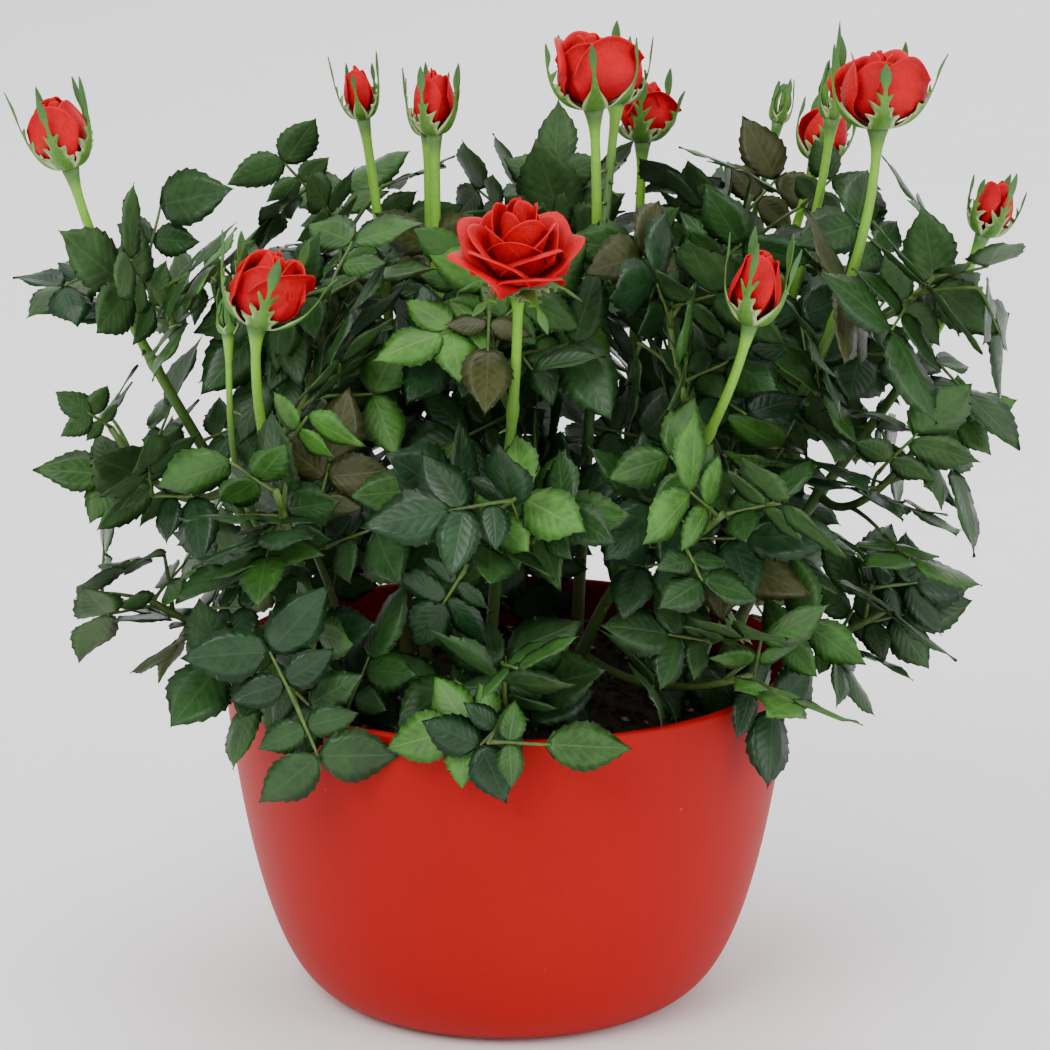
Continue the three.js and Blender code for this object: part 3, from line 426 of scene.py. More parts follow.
# Rough crumbs: eight-faced bodies whose corners each have a random share of the radius, tilted and turned.
def crumbs(count, sizes, seed, flat):
    chance = np.random.default_rng(seed)
    corners = array([(1, 0, 0), (-1, 0, 0), (0, 1, 0), (0, -1, 0), (0, 0, 1), (0, 0, -1)])
    faces = np.array([(0, 2, 4), (2, 1, 4), (1, 3, 4), (3, 0, 4), (2, 0, 5), (1, 2, 5), (3, 1, 5), (0, 3, 5)])
    radius = mix["radius"] * 0.93 * np.sqrt(chance.uniform(0, 1, count))
    angle = chance.uniform(0, fullTurn, count)
    x, y = radius * np.cos(angle), radius * np.sin(angle)
    size = chance.uniform(*sizes, (count, 1, 1)) * chance.uniform(0.6, 1.25, (count, 6, 1))
    shape = corners[None] * size * [1.3, 1, flat]
    turn = chance.uniform(0, fullTurn, (count, 1))
    tilt = chance.uniform(-0.6, 0.6, (count, 1))
    sx, sy, sz = shape[..., 0], shape[..., 1], shape[..., 2]
    sx, sz = sx * np.cos(tilt) - sz * np.sin(tilt), sx * np.sin(tilt) + sz * np.cos(tilt)
    sx, sy = sx * np.cos(turn) - sy * np.sin(turn), sx * np.sin(turn) + sy * np.cos(turn)
    place = np.stack([x, y, mixHeight(x, y) + 0.4], -1)[:, None]
    points = np.stack([sx, sy, sz], -1) + place
    return points.reshape(-1, 3), [repeated(faces, count, 6)], np.zeros((count * 6, 2))


# The mix is a turned body: its side keeps clear of the bowl's inside, and its top takes the height above.
def buildMix():
    edge = bowlRadius(mix["top"] - mix["edgeDrop"]) - bowl["wall"] - mix["gap"]
    radius = edge * np.linspace(0, 1, mix["rings"])[1:]
    angle = np.arange(mix["segments"]) * fullTurn / mix["segments"]
    x, y = radius[:, None] * np.cos(angle), radius[:, None] * np.sin(angle)
    low = bowl["floor"] + 0.35
    heights = np.linspace(low, mix["top"] - mix["edgeDrop"] - 4, mix["sideRings"])
    side = [(bowlRadius(height) - bowl["wall"] - 0.4, height) for height in heights]
    level = np.stack([radius, 0 * radius], -1)[::-1]
    profile = np.concatenate([[(0, low)], side, level, [(0, mix["top"])]])
    points, faces = turned(profile, mix["segments"])
    top = np.stack([x, y, mixHeight(x, y)], -1)[::-1].reshape(-1, 3)
    points[mix["sideRings"] * mix["segments"]:-2] = top
    points[-1, 2] = mixHeight(np.zeros(1), np.zeros(1))[0]
    loose = crumbs(mix["crumbs"], mix["crumbSize"], 5, mix["crumbFlat"])
    points, faces, _ = joined([(points, faces, np.zeros((len(points), 2))), loose])
    makePiece("peat", points, faces, [grainyMaterial("darkPeat", peatFinish)], ["potting_mix"])
    points, faces, _ = crumbs(mix["paleBits"], mix["bitSize"], 6, mix["bitFlat"])
    pale = grainyMaterial("paleBits", paleFinish)
    makePiece("pale_bits", points, faces, [pale], ["potting_mix"])


buildBowl()
buildMix()
print("bowl and mix built")

# The canes and blooms have the same named sizes as the solids.
canes = dict(footRadius=2.3, neckRadius=1.55, footFlare=1.35, hipRadius=3.4, hipLength=9.0, gap=0.5,
             stations=[0, 0.025, 0.26, 0.52, 0.78, 0.95, 1], forkRadius=0.85, forkRise=0.7, handle=0.36,
             footDepth=4.0, rings=56, sides=12, slim=0.86, slimmest=0.25, slimUnder=9.0, knob=0.5,
             knobLength=2.2, prickles=9, prickleLength=2.6, seed=11)
caneFinish = dict(foot=(0.07, 0.07, 0.02), middle=(0.035, 0.10, 0.012), neck=(0.19, 0.45, 0.03),
                  hip=(0.075, 0.19, 0.04), fleck=(0.10, 0.16, 0.03), fleckShare=0.35, coarse=90.0, fine=700.0,
                  roughness=(0.42, 0.55), specular=0.4, relief=0.35, depth=0.0005)

# Every flower with the foot of its cane, or the cane that it forks from and where, and its neck.
flowers = [
    dict(name="far_left", foot=(-58, 4), neck=(-123, -5, 245), lean=(-0.23, 0, 1), bloom="bud",
         width=16.5, height=19),
    dict(name="back_left", foot=(-30, 30), neck=(-42, 40, 251), lean=(-0.16, 0.05, 1), bloom="bud",
         width=9, height=14),
    dict(name="left_centre", foot=(-24, 6), neck=(-20.5, 5, 253), lean=(-0.02, 0, 1), bloom="bud",
         width=12.5, height=17),
    dict(name="left_centre_back", fork="left_centre", at=0.4, neck=(-23, 34, 247), lean=(0, 0.05, 1),
         bloom="bud", width=9, height=13),
    dict(name="tall_centre", foot=(20, 4), neck=(24.3, -5, 262), lean=(-0.06, -0.05, 1), bloom="half",
         width=23, height=19.5),
    dict(name="tall_centre_back", fork="tall_centre", at=0.72, neck=(31.5, 20, 259), lean=(0.14, 0.2, 1),
         bloom="bud", width=12, height=15),
    dict(name="back_centre", foot=(34, 40), neck=(39.5, 47, 243), lean=(0.03, 0.05, 1), bloom="half",
         width=16.5, height=16),
    dict(name="front_open", foot=(-6, -28), neck=(3.2, -52, 221), lean=(0, -0.25, 1), bloom="open",
         width=41, height=25),
    dict(name="front_left", foot=(-50, -22), neck=(-68.5, -45, 209), lean=(0.1, -0.1, 1), bloom="half",
         width=23, height=20, tip=(0.32, -0.12, 1)),
    dict(name="front_left_bud", fork="front_left", at=0.42, neck=(-77, -38, 205), lean=(-0.02, 0, 1),
         bloom="green", width=5.6, height=6),
    dict(name="front_right", foot=(16, -20), neck=(67, -48, 210), lean=(0.2, -0.05, 1), bloom="bud",
         width=15, height=19),
    dict(name="tall_right", foot=(50, -8), neck=(103.8, -8, 257), lean=(0, 0, 1), bloom="half",
         width=25.5, height=20),
    dict(name="right_green_bud", foot=(50, 16), neck=(93.2, 25, 254), lean=(0.08, 0, 1), bloom="green",
         width=8, height=9, leafy=1.7, leafySepal=2),
    dict(name="back_right", foot=(54, 34), neck=(90.6, 47, 237), lean=(0.3, 0.15, 1), bloom="bud",
         width=14, height=15),
    dict(name="far_right", foot=(60, 3), neck=(136.5, 13, 222), lean=(0.35, 0.1, 1), bloom="bud",
         width=12, height=15),
    dict(name="back_right_green_bud", foot=(36, 54), neck=(80, 62, 246), lean=(0.2, 0.08, 1), bloom="green",
         width=5.6, height=6.5),
    dict(name="left_green_bud", foot=(-46, 20), neck=(-84, 14, 208), lean=(-0.1, 0.05, 1), bloom="green",
         width=4.6, height=5),
]


# A cane tapers from a flared foot to its neck and widens into the hip under the bloom.
def caneRadius(flower, along):
    taper = flower["footRadius"] + (canes["neckRadius"] - flower["footRadius"]) * along ** 0.7
    flare = 1.0 if "fork" in flower else 1 + (canes["footFlare"] - 1) * np.maximum(0, 1 - along / 0.03)
    hipStart = 1 - canes["hipLength"] / flower["length"]
    hip = np.maximum(0, (along - hipStart) / (1 - hipStart))
    return taper * flare + (flower["hipRadius"] - canes["neckRadius"]) * hip ** 1.6


# The line of each flowering cane, from its foot or its fork to its neck.
def layCanes():
    named = {flower["name"]: flower for flower in flowers}
    for flower in flowers:
        neck, lean = array(flower["neck"]), unit(array(flower["lean"]))
        if "fork" in flower:
            parent, at = named[flower["fork"]], array([flower["at"]])
            start = jointedPoint(parent["line"], canes["stations"], at)[0]
            tangent = bezierTangent(parent["line"], at)[0]
            away = unit((neck - start) * [1, 1, 0])
            away = unit(away - tangent * dot(away, tangent))
            foot = start + away * (caneRadius(parent, at)[0] + canes["gap"])
            rise = unit(away * canes["forkRise"] + tangent)
            flower["start"], flower["footRadius"] = start, canes["neckRadius"] * canes["forkRadius"]
        else:
            foot = array([*flower["foot"], mix["top"] + canes["gap"]])
            rise = unit((neck - foot) * [0.5, 0.5, 1])
            flower["start"], flower["footRadius"] = foot - [0, 0, canes["footDepth"]], canes["footRadius"]
        length = np.linalg.norm(neck - foot)
        flower["length"] = length
        share = canes["handle"]
        flower["line"] = [foot, foot + rise * length * share, neck - lean * length * share, neck]
        flower["axis"] = unit(array(flower.get("tip", flower["lean"])))
        flower["hipRadius"] = canes["hipRadius"] * (0.45 + flower["width"] / 42)
        if flower["bloom"] == "open":
            flower["hipRadius"] = canes["hipRadius"]
        if flower["bloom"] == "green":
            flower["hipRadius"] = flower["width"] * 0.36


layCanes()
print("canes laid:", len(flowers))

sepals = dict(
    count=5, share=0.34, least=3.2, most=6.0, rows=46, columns=7, thickness=0.35, boat=2.2, boatDepth=1.8,
    length=dict(bud=1.15, half=1.1, open=0.7, green=1.7), stand=dict(bud=1.0, half=1.0, green=0.2),
    spread=dict(bud=0.34, half=0.55, open=1.5, green=0.2), closed=dict(bud=0.92, half=0.92, green=0.3),
    splay=dict(bud=0.15, half=0.3, green=0.06), broader=dict(bud=1.22, half=1.22, open=1.22, green=1.35),
    lobes=3, lobeFrom=0.33, lobeApart=0.13, lobeWidth=0.024, lobeForward=0.11,
    lobeless=dict(bud=0.3, half=0.3, open=0.3, green=1.0), tipFrom=0.72, tipWidth=0.3)
sepalFinish = dict(dark=(0.045, 0.14, 0.012), light=(0.11, 0.25, 0.03), margin=(0.50, 0.60, 0.30),
                   marginShare=0.75, tip=(0.035, 0.11, 0.03), tipShare=0.8, coarse=150.0, fine=900.0,
                   roughness=(0.5, 0.62), specular=0.4, relief=0.4, depth=0.0005)


# Green with a pale margin towards the foot and a darker leafy tip.
def sepalMaterial():
    material, shading, place, surface = newMaterial("sepalGreen")
    along, across = shading.alongAndAcross(surface)
    tone, grain = mottled(shading, place, sepalFinish)
    base = shading.mix(tone, sepalFinish["dark"], sepalFinish["light"])
    margin = shading.math("MULTIPLY", shading.ramp(across, 0.6, 0.95), shading.ramp(along, 0.6, 0.3))
    margin = shading.math("MULTIPLY", margin, sepalFinish["marginShare"])
    base = shading.mix(margin, base, sepalFinish["margin"])
    base = shading.mix(shading.ramp(along, 0.6, 0.95, 0.0, sepalFinish["tipShare"]), base, sepalFinish["tip"])
    roughness = shading.ramp(grain, 0.3, 0.7, *sepalFinish["roughness"])
    finishMaterial(shading, base, roughness, sepalFinish, grain)
    return material


# The main corners of a flower's sepals, as the solids have them.
def sepalSizes(flower):
    kind = flower["bloom"]
    isOpen = kind == "open"
    height = flower["width"] * 0.42 if isOpen else flower["height"]
    width = min(sepals["most"], max(sepals["least"], flower["width"] * sepals["share"]))
    length = height * sepals["length"][kind]
    belly = length * 0.45 if isOpen else flower["width"] / 2 + 0.4
    bellyZ = -1.5 if isOpen else height * 0.36
    tipRadius = belly + length * 0.5 * sepals["spread"][kind]
    turns = (np.arange(sepals["count"]) + 0.5) * fullTurn / sepals["count"] + flower["width"]
    return dict(height=height, width=width, length=length, belly=belly, bellyZ=bellyZ, tipRadius=tipRadius,
                tipZ=-6.0 if isOpen else length, turns=turns)


# Points given as radius, height and sideways distance at a turn round the bloom's own axis.
def roundAxis(radius, height, beside, turn):
    x = radius * np.cos(turn) - beside * np.sin(turn)
    y = radius * np.sin(turn) + beside * np.cos(turn)
    return np.stack(np.broadcast_arrays(x, y, height), -1)


def onNeck(points, flower, lift=0.0):
    return points @ uprightTo(flower["axis"]).T + array(flower["neck"]) + flower["axis"] * lift


# A sepal follows a Bezier path of radius and height up the side of its bloom. Its half width tapers from
# the base, and on most of them a few narrow lobes, each exp(-((v - place) / width)^2), stand out and lean
# forward. The tip widens once more into a small leaf, sin(pi w), with w its share of the way. The sepal is
# boat-shaped: its sides bend in by beside^2 / (2 boat). A flower with a leafy value has one sepal that much
# longer.
def sepalSheets(flower, seed):
    size = sepalSizes(flower)
    chance = np.random.default_rng(seed)
    v = np.linspace(0, 1, sepals["rows"])[:, None]
    u = np.linspace(-1, 1, sepals["columns"])
    kind, half, height = flower["bloom"], size["belly"], size["height"]
    foot = flower["hipRadius"] * 0.8
    sheets = []
    for number, turn in enumerate(size["turns"]):
        leafy = flower.get("leafy", 1.0) if number == flower.get("leafySepal", 0) else 1.0
        reach = size["length"] * chance.uniform(0.82, 1.15) * leafy
        if kind == "open":
            end = (size["tipRadius"] + 3, chance.uniform(-8, 1), 0)
            path = [(foot, -0.6, 0), (6, -0.5, 0), (11, 0.4, 0), end]
        else:
            stand = sepals["stand"][kind]
            splay = 0.8 + chance.uniform(0, 1) * sepals["splay"][kind] * reach
            end = (half * sepals["closed"][kind] + splay, reach, 0)
            path = [(foot, -0.8, 0), (half + stand, 0.02 * height, 0),
                    (half + 1.6 * stand, 0.6 * height, 0), end]
        shift = chance.uniform(-0.04, 0.04, (2, 1))
        places = sepals["lobeFrom"] + sepals["lobeApart"] * np.arange(sepals["lobes"]) + shift
        lobed = leafy > 1 or chance.uniform() > sepals["lobeless"][kind]
        heights = chance.uniform(0.4, 1.15, (2, sepals["lobes"])) * lobed
        peaks = heights * np.exp(-((v[..., None] - places) / sepals["lobeWidth"]) ** 2)
        lobes = peaks.sum(-1)[:, (u > 0).astype(int)]
        share = np.clip(v + lobes * np.abs(u) ** 3 * sepals["lobeForward"], 0, 1)
        line = bezier(path, share.ravel()).reshape(*share.shape, 3)
        wide = 0.66 + 0.34 * np.sin(np.pi * np.clip(v / 0.5, 0, 1)) - 0.5 * np.clip((v - 0.22) / 0.42, 0, 1)
        tip = np.sin(np.pi * np.clip((v - sepals["tipFrom"]) / (1 - sepals["tipFrom"]), 0, 1))
        wide = wide * (1 - v ** 6 * 0.9) + sepals["tipWidth"] * chance.uniform(0.6, 1.2) * tip
        wide = wide + lobes * (1.0 - 0.6 * v) * leafy * np.abs(u) ** 3
        beside = wide * u * size["width"] * sepals["broader"][kind] / 2
        radius = line[..., 0] - np.minimum(beside ** 2 / (2 * sepals["boat"]), sepals["boatDepth"]) + 0.3
        sheets.append(roundAxis(radius, line[..., 1], beside + chance.uniform(-1, 1) * v ** 2, turn))
    return onNeck(np.stack(sheets)[:, :, ::-1], flower)


# What each kind of bloom is made of: petals numbered from the heart outwards, with the first values for the
# innermost petal and the second for the outermost. leans are the angles from upright at foot, middle and lip,
# curl turns the last part of the lip further out, and uneven is how far the outer petals differ in height and
# lean.
petals = dict(
    bud=dict(count=9, leans=[(35, -4, -30), (68, 2, -14)], belly=(0.25, 1.0), height=(1.02, 0.93),
             arc=(2.6, 2.3), cut=(0.3, 0.3), point=(2.4, 2.2), roll=(0.0, 0.03), curl=(0, 12), uneven=0.05),
    half=dict(count=12, leans=[(32, -4, -28), (74, 2, -8)], belly=(0.18, 1.0), height=(1.03, 0.93),
              arc=(2.6, 2.3), cut=(0.25, 0.34), point=(2.4, 2.0), roll=(0.0, 0.07), curl=(0, 55),
              uneven=0.13),
    open=dict(count=22, leans=[(30, -4, -24), (80, 50, 62)], belly=(0.10, 1.08), height=(1.02, 0.44),
              arc=(2.6, 1.4), cut=(0.25, 0.55), point=(2.4, 1.5), roll=(0.0, 0.10), curl=(10, 70),
              uneven=0.28),
    green=dict(count=5, leans=[(50, 0, -30), (50, 0, -30)], belly=(1.0, 1.0), height=(1.55, 1.55),
               arc=(1.5, 1.5), cut=(0.75, 0.75), point=(2.4, 2.4), roll=(0.0, 0.0), curl=(0, 0), uneven=0.0),
    rows=17, columns=13, thickness=0.22, goldenAngle=2.399963, ruffle=0.02, overlap=0.055, seat=0.33,
    curlFrom=0.8, widestAt=0.72)
# foot is the colour of a painted shade deep in the bloom, and lip that of a painted highlight on the petal
# edges.
petalFinish = dict(dark=(0.40, 0.0, 0.004), light=(0.57, 0.0, 0.008), foot=(0.20, 0.0, 0.004), paintedShadeShare=0.7,
                   lip=(0.80, 0.004, 0.014), paintedHighlightShare=0.35, coarse=120.0, fine=900.0, veinScale=3.0,
                   stretch=(2.0, 26.0, 1.0), veinShare=0.7, roughness=(0.42, 0.56), specular=0.14,
                   relief=0.35, depth=0.0005, constants={"Sheen Weight": 0.04, "Sheen Roughness": 0.4,
                                                         "Sheen Tint": (1.0, 0.1, 0.08, 1.0)})


# Red, with painted shade towards the foot, a painted highlight at the lip, and veins that run along the
# petal.
def petalMaterial():
    material, shading, place, surface = newMaterial("redPetal")
    along = shading.add("ShaderNodeSeparateXYZ", {0: surface}).outputs[0]
    stretch = {"Vector": surface, "Scale": petalFinish["stretch"]}
    veins = shading.noise(shading.add("ShaderNodeMapping", stretch).outputs[0], petalFinish["veinScale"])
    tone, grain = mottled(shading, place, petalFinish)
    base = shading.mix(tone, petalFinish["dark"], petalFinish["light"])
    # Painted shade: the petal darkens towards its foot, deep inside the bloom.
    foot = shading.ramp(along, 0.55, 0.0, 0.0, petalFinish["paintedShadeShare"])
    base = shading.mix(foot, base, petalFinish["foot"])
    # Painted highlight: the petal brightens at its lip.
    lip = shading.ramp(along, 0.9, 1.0, 0.0, petalFinish["paintedHighlightShare"])
    base = shading.mix(lip, base, petalFinish["lip"])
    height = shading.math("MULTIPLY_ADD", veins, petalFinish["veinShare"], grain)
    roughness = shading.ramp(veins, 0.3, 0.7, *petalFinish["roughness"])
    finishMaterial(shading, base, roughness, petalFinish, height)
    return material


# A petal rises from the calyx. Its middle line turns through its leans and is summed up step by step, then
# scaled to its belly radius and height. Its width wraps round the bloom's axis, one side a little further out
# than the other, its corners are cut back by a power of |u|, and its sides roll out by
# ((|u| - 0.5) / 0.5)^2 v^2.
def petalSheets(flower, seed):
    kind = petals[flower["bloom"]]
    chance = np.random.default_rng(seed)
    count = kind["count"]
    t = np.linspace(0, 1, count)[:, None, None]
    v = (1 - (1 - np.linspace(0, 1, petals["rows"])) ** 1.25)[None, :, None]
    u = np.linspace(-1, 1, petals["columns"])[None, None, :]
    between = lambda pair: pair[0] + (pair[1] - pair[0]) * t
    vary = lambda low, high: chance.uniform(low, high, (count, 1, 1))
    differ = kind["uneven"] * t ** 2
    foot, middle, lip = [np.radians(between((a, b))) for a, b in zip(*kind["leans"])]
    middle = middle + vary(-0.5, 0.6) * differ
    lip = lip + vary(-1.2, 2.4) * differ
    share = v * (1 - between(kind["cut"]) * np.abs(u) ** between(kind["point"]))
    lean = foot * (1 - share) * (1 - 2 * share) + middle * 4 * share * (1 - share)
    lean = lean + lip * share * (2 * share - 1)
    over = np.clip((v - petals["curlFrom"]) / (1 - petals["curlFrom"]), 0, 1)
    lean = lean + np.radians(between(kind["curl"])) * vary(0.3, 1.1) * over ** 1.3
    step = np.diff(share, axis=1, prepend=0)
    radius = np.cumsum(np.sin(lean) * step, axis=1) + 0.03
    height = np.cumsum(np.cos(lean) * step, axis=1)
    centre = petals["columns"] // 2
    belly = between(kind["belly"]) * flower["width"] / 2 * vary(0.94, 1.0)
    tall = between(kind["height"]) * flower["height"] * (1 + vary(-1, 0.9) * (differ + 0.03))
    radius = radius * belly / radius[:, :, centre:centre + 1].max(axis=1, keepdims=True)
    height = height * tall / height[:, :, centre:centre + 1].max(axis=1, keepdims=True)
    wide = 0.26 + 0.74 * np.sin(np.pi / 2 * np.clip(share / petals["widestAt"], 0, 1))
    wide = wide - 0.12 * np.clip((share - petals["widestAt"]) / 0.28, 0, 1)
    beside = wide * u * between(kind["arc"]) * belly / 2 * vary(0.9, 1.1)
    bend = np.maximum(radius * (1 + 0.2 * t), 0.4)
    angle = np.clip(beside / bend, -1.9, 1.9)
    roll = between(kind["roll"]) * flower["width"] * np.clip((np.abs(u) - 0.5) / 0.5, 0, 1) ** 2 * v ** 2
    roll = roll * np.where(u < 0, vary(0.1, 1.1), vary(0.1, 1.1))
    ruffle = petals["ruffle"] * flower["width"] * np.sin(3.1 * u + vary(0, 6)) * v ** 3 * t
    radial = radius - bend * (1 - np.cos(angle)) + roll + ruffle
    radial = radial + petals["overlap"] * flower["width"] * u * 0.5
    rise = height - roll * 0.8 * t
    turn = np.arange(count)[:, None, None] * petals["goldenAngle"] + flower["width"] + vary(-0.15, 0.15)
    if flower["bloom"] == "green":
        turn = np.arange(count)[:, None, None] * fullTurn / count
    grid = roundAxis(radial, rise, bend * np.sin(angle), turn)
    return onNeck(grid[:, :, ::-1], flower, petals["seat"])


def buildBlooms():
    red = petalMaterial()
    green = sepalMaterial()
    greenParts = []
    for number, flower in enumerate(flowers):
        sheets = closedSheets(petalSheets(flower, 100 + number), petals["thickness"])
        if flower["bloom"] == "green":
            greenParts.append(sheets)
        else:
            points, faces, uv = sheets
            name = "bloom_" + flower["name"]
            makePiece("petals_" + flower["name"], points, faces, [red], [name], uv)
        greenParts.append(closedSheets(sepalSheets(flower, 200 + number), sepals["thickness"]))
    points, faces, uv = joined(greenParts)
    names = ["cane_" + flower["name"] for flower in flowers]
    makePiece("sepals", points, faces, [green], names, uv)


buildBlooms()
print("blooms built")


# The leafy shoots, by the same rule and seed as the solids: each has its own space round a centre.
leaflets = dict(length=32.0, spread=0.34, widthShare=0.68, widest=0.42, arch=0.05, lowerStalk=0.24,
                upperStalk=0.5, secondPair=0.66, twigRadius=0.7, stemRadius=1.4, stemTipRadius=1.05,
                stations=[0, 0.3, 0.65, 1], clearance=0.5, cellGap=0.2, bowlGap=1.5, wallGap=4.0, mixGap=1.0,
                tooNear=0.17, mayCross=0.55, crowding=12.0, goldenAngle=2.399963, mostOnShoot=19, choices=90,
                rounds=12, seed=41)

shoots = [
    dict(name="low_front", cane="front_open", at=0.1, centre=(0, -74, 107), reach=(40, 34, 33),
         tips=[(-24, -96, 85), (23, -92, 99)]),
    dict(name="low_front_left", cane="front_left", at=0.1, centre=(-60, -54, 110), reach=(44, 42, 36),
         tips=[(-94, -42, 86), (-37, -86, 93)]),
    dict(name="low_front_right", cane="front_right", at=0.14, centre=(60, -50, 110), reach=(44, 42, 36),
         tips=[(97, -40, 77)]),
    dict(name="low_left", cane="far_left", at=0.12, centre=(-96, -2, 116), reach=(38, 44, 34),
         tips=[(-109, -24, 103)]),
    dict(name="low_right", cane="far_right", at=0.12, centre=(100, 0, 112), reach=(38, 44, 38),
         tips=[(118, -12, 98), (110, 6, 80)]),
    dict(name="low_back_left", cane="left_green_bud", at=0.08, centre=(-60, 62, 112), reach=(44, 42, 34)),
    dict(name="low_back", cane="back_left", at=0.1, centre=(2, 84, 108), reach=(42, 34, 33),
         tips=[(10, 116, 104)]),
    dict(name="low_back_right", cane="back_right_green_bud", at=0.08, centre=(64, 64, 112),
         reach=(44, 42, 34)),
    dict(name="front_left", cane="front_left", at=0.42, centre=(-62, -54, 158), reach=(42, 38, 38)),
    dict(name="front", cane="front_open", at=0.5, centre=(-6, -66, 156), reach=(42, 34, 38),
         tips=[(-4, -99, 150)]),
    dict(name="front_right", cane="front_right", at=0.5, centre=(54, -56, 156), reach=(42, 36, 38)),
    dict(name="left", cane="far_left", at=0.38, centre=(-104, -2, 162), reach=(38, 46, 38),
         tips=[(-136, -4, 157), (-128, -14, 182)]),
    dict(name="right", cane="far_right", at=0.42, centre=(112, -4, 162), reach=(42, 46, 40),
         tips=[(148, -4, 133), (147, 2, 176)]),
    dict(name="back_left", cane="left_green_bud", at=0.5, centre=(-62, 64, 160), reach=(44, 42, 38),
         tips=[(-76, 100, 168)]),
    dict(name="back", cane="back_left", at=0.4, centre=(2, 84, 160), reach=(42, 38, 38),
         tips=[(-8, 119, 162)]),
    dict(name="back_right", cane="back_right_green_bud", at=0.42, centre=(66, 66, 160), reach=(44, 42, 38),
         tips=[(80, 103, 168)]),
    dict(name="centre", cane="left_centre", at=0.4, centre=(-2, 0, 154), reach=(42, 42, 40)),
    dict(name="top_left", cane="far_left", at=0.64, centre=(-104, -4, 206), reach=(40, 42, 36),
         tips=[(-136, -6, 220), (-131, 8, 202)]),
    dict(name="top_front_left", cane="front_left", at=0.7, centre=(-54, -24, 202), reach=(38, 40, 42),
         tips=[(-72, -2, 233)]),
    dict(name="top_front", cane="front_open", at=0.72, centre=(-4, -28, 200), reach=(40, 36, 36)),
    dict(name="top_front_right", cane="front_right", at=0.74, centre=(48, -24, 202), reach=(40, 40, 42)),
    dict(name="top_right", cane="tall_right", at=0.68, centre=(110, -6, 208), reach=(42, 46, 40),
         tips=[(150, -4, 228), (148, 0, 197)]),
    dict(name="top_back_left", cane="back_left", at=0.68, centre=(-44, 40, 210), reach=(42, 42, 38),
         tips=[(-58, 20, 238), (-14, 24, 245)]),
    dict(name="top_back", cane="back_centre", at=0.7, centre=(16, 48, 212), reach=(40, 42, 38)),
    dict(name="top_back_right", cane="back_right", at=0.66, centre=(72, 44, 214), reach=(42, 42, 44),
         tips=[(63, 58, 255)]),
]


# The stem of each shoot leaves its cane and runs past the centre of the shoot's own space.
def layStems():
    named = {flower["name"]: flower for flower in flowers}
    for shoot in shoots:
        flower, at = named[shoot["cane"]], array([shoot["at"]])
        start = jointedPoint(flower["line"], canes["stations"], at)[0]
        tangent = bezierTangent(flower["line"], at)[0]
        centre = array(shoot["centre"])
        away = centre - start
        away = unit(away - tangent * dot(away, tangent))
        foot = start + away * (caneRadius(flower, at)[0] + canes["gap"])
        tip = centre + unit(centre - foot) * min(shoot["reach"]) * 0.3
        bend = foot + away * np.linalg.norm(foot - tip) * 0.45
        shoot["start"], shoot["line"] = start, [foot, bend, tip]
        shoot["middle"], shoot["radii"] = centre, array(shoot["reach"])
    for shoot in shoots:
        others = array([other["middle"] for other in shoots if other is not shoot]) - shoot["middle"]
        shoot["apart"] = np.linalg.norm(others, axis=-1)
        shoot["towards"] = unit(others)


# What the leaves keep clear of: balls strung along every cane, stem and sepal and through every bloom. The
# owner of a ball is a shoot's number, -1 less a flower's number for its cane, or nobody.
def strungBalls():
    places, radii, owners = [], [], []
    nobody = -99
    for number, flower in enumerate(flowers):
        along = np.arange(151) / 150
        places.append(jointedPoint(flower["line"], canes["stations"], along))
        radii.append(caneRadius(flower, along))
        owners.append(np.full(len(along), -1 - number))
        shares = array([0.3, 0.75, 1.2])
        places.append(array(flower["neck"]) + flower["axis"] * flower["height"] * shares[:, None])
        radii.append(flower["width"] * np.where(shares < 1, 0.58, 0.45) + 1)
        size = sepalSizes(flower)
        belly, bellyZ, half = size["belly"], size["bellyZ"], size["width"] / 2
        corners = [(flower["hipRadius"] * 0.25, -1.6, 0), (size["tipRadius"], size["tipZ"], 0),
                   (belly, bellyZ, half), (belly, bellyZ, -half),
                   (belly - 0.5, bellyZ + 0.6, 0), (belly + 0.5, bellyZ - 0.6, 0)]
        for radius, height, beside in corners:
            places.append(onNeck(roundAxis(radius, height, beside, size["turns"]), flower))
            radii.append(np.full(sepals["count"], 2.0))
        others = sum(len(some) for some in radii) - sum(len(some) for some in owners)
        owners.append(np.full(others, nobody))
    for number, shoot in enumerate(shoots):
        along = np.arange(41) / 40
        places.append(jointedPoint(shoot["line"], leaflets["stations"], along))
        radii.append(stemRadius(along))
        owners.append(np.full(len(along), number))
    return np.concatenate(places), np.concatenate(radii), np.concatenate(owners)


def stemRadius(along):
    return leaflets["stemRadius"] + (leaflets["stemTipRadius"] - leaflets["stemRadius"]) * along


# The blades of leaflets with their base, long axis, upward normal and length, as the solids have them.
def bladesOf(base, axis, normal, length):
    side = np.cross(normal, axis)
    half = length * leaflets["widthShare"] / 2
    wide = base + axis * (leaflets["widest"] * length)[..., None]
    wide = wide - normal * (leaflets["arch"] * length)[..., None]
    tip = base + axis * length[..., None]
    left, right = wide + side * half[..., None], wide - side * half[..., None]
    pick = lambda *sets: np.stack([np.stack(corners, -2) for corners in sets], -3)
    return dict(base=base, axis=axis, normal=normal, side=side, length=length, half=half, tip=tip, left=left,
                right=right, middle=base + axis * (length / 2)[..., None],
                plates=pick((base, tip, left), (base, right, tip), (base, left, right), (tip, right, left)),
                edges=pick((base, left), (left, tip), (tip, right), (right, base), (base, tip)))


def chosen(blades, mask):
    return {key: value[mask] for key, value in blades.items()}


def together(sets):
    return {key: np.concatenate([blades[key] for blades in sets]) for key in sets[0]}


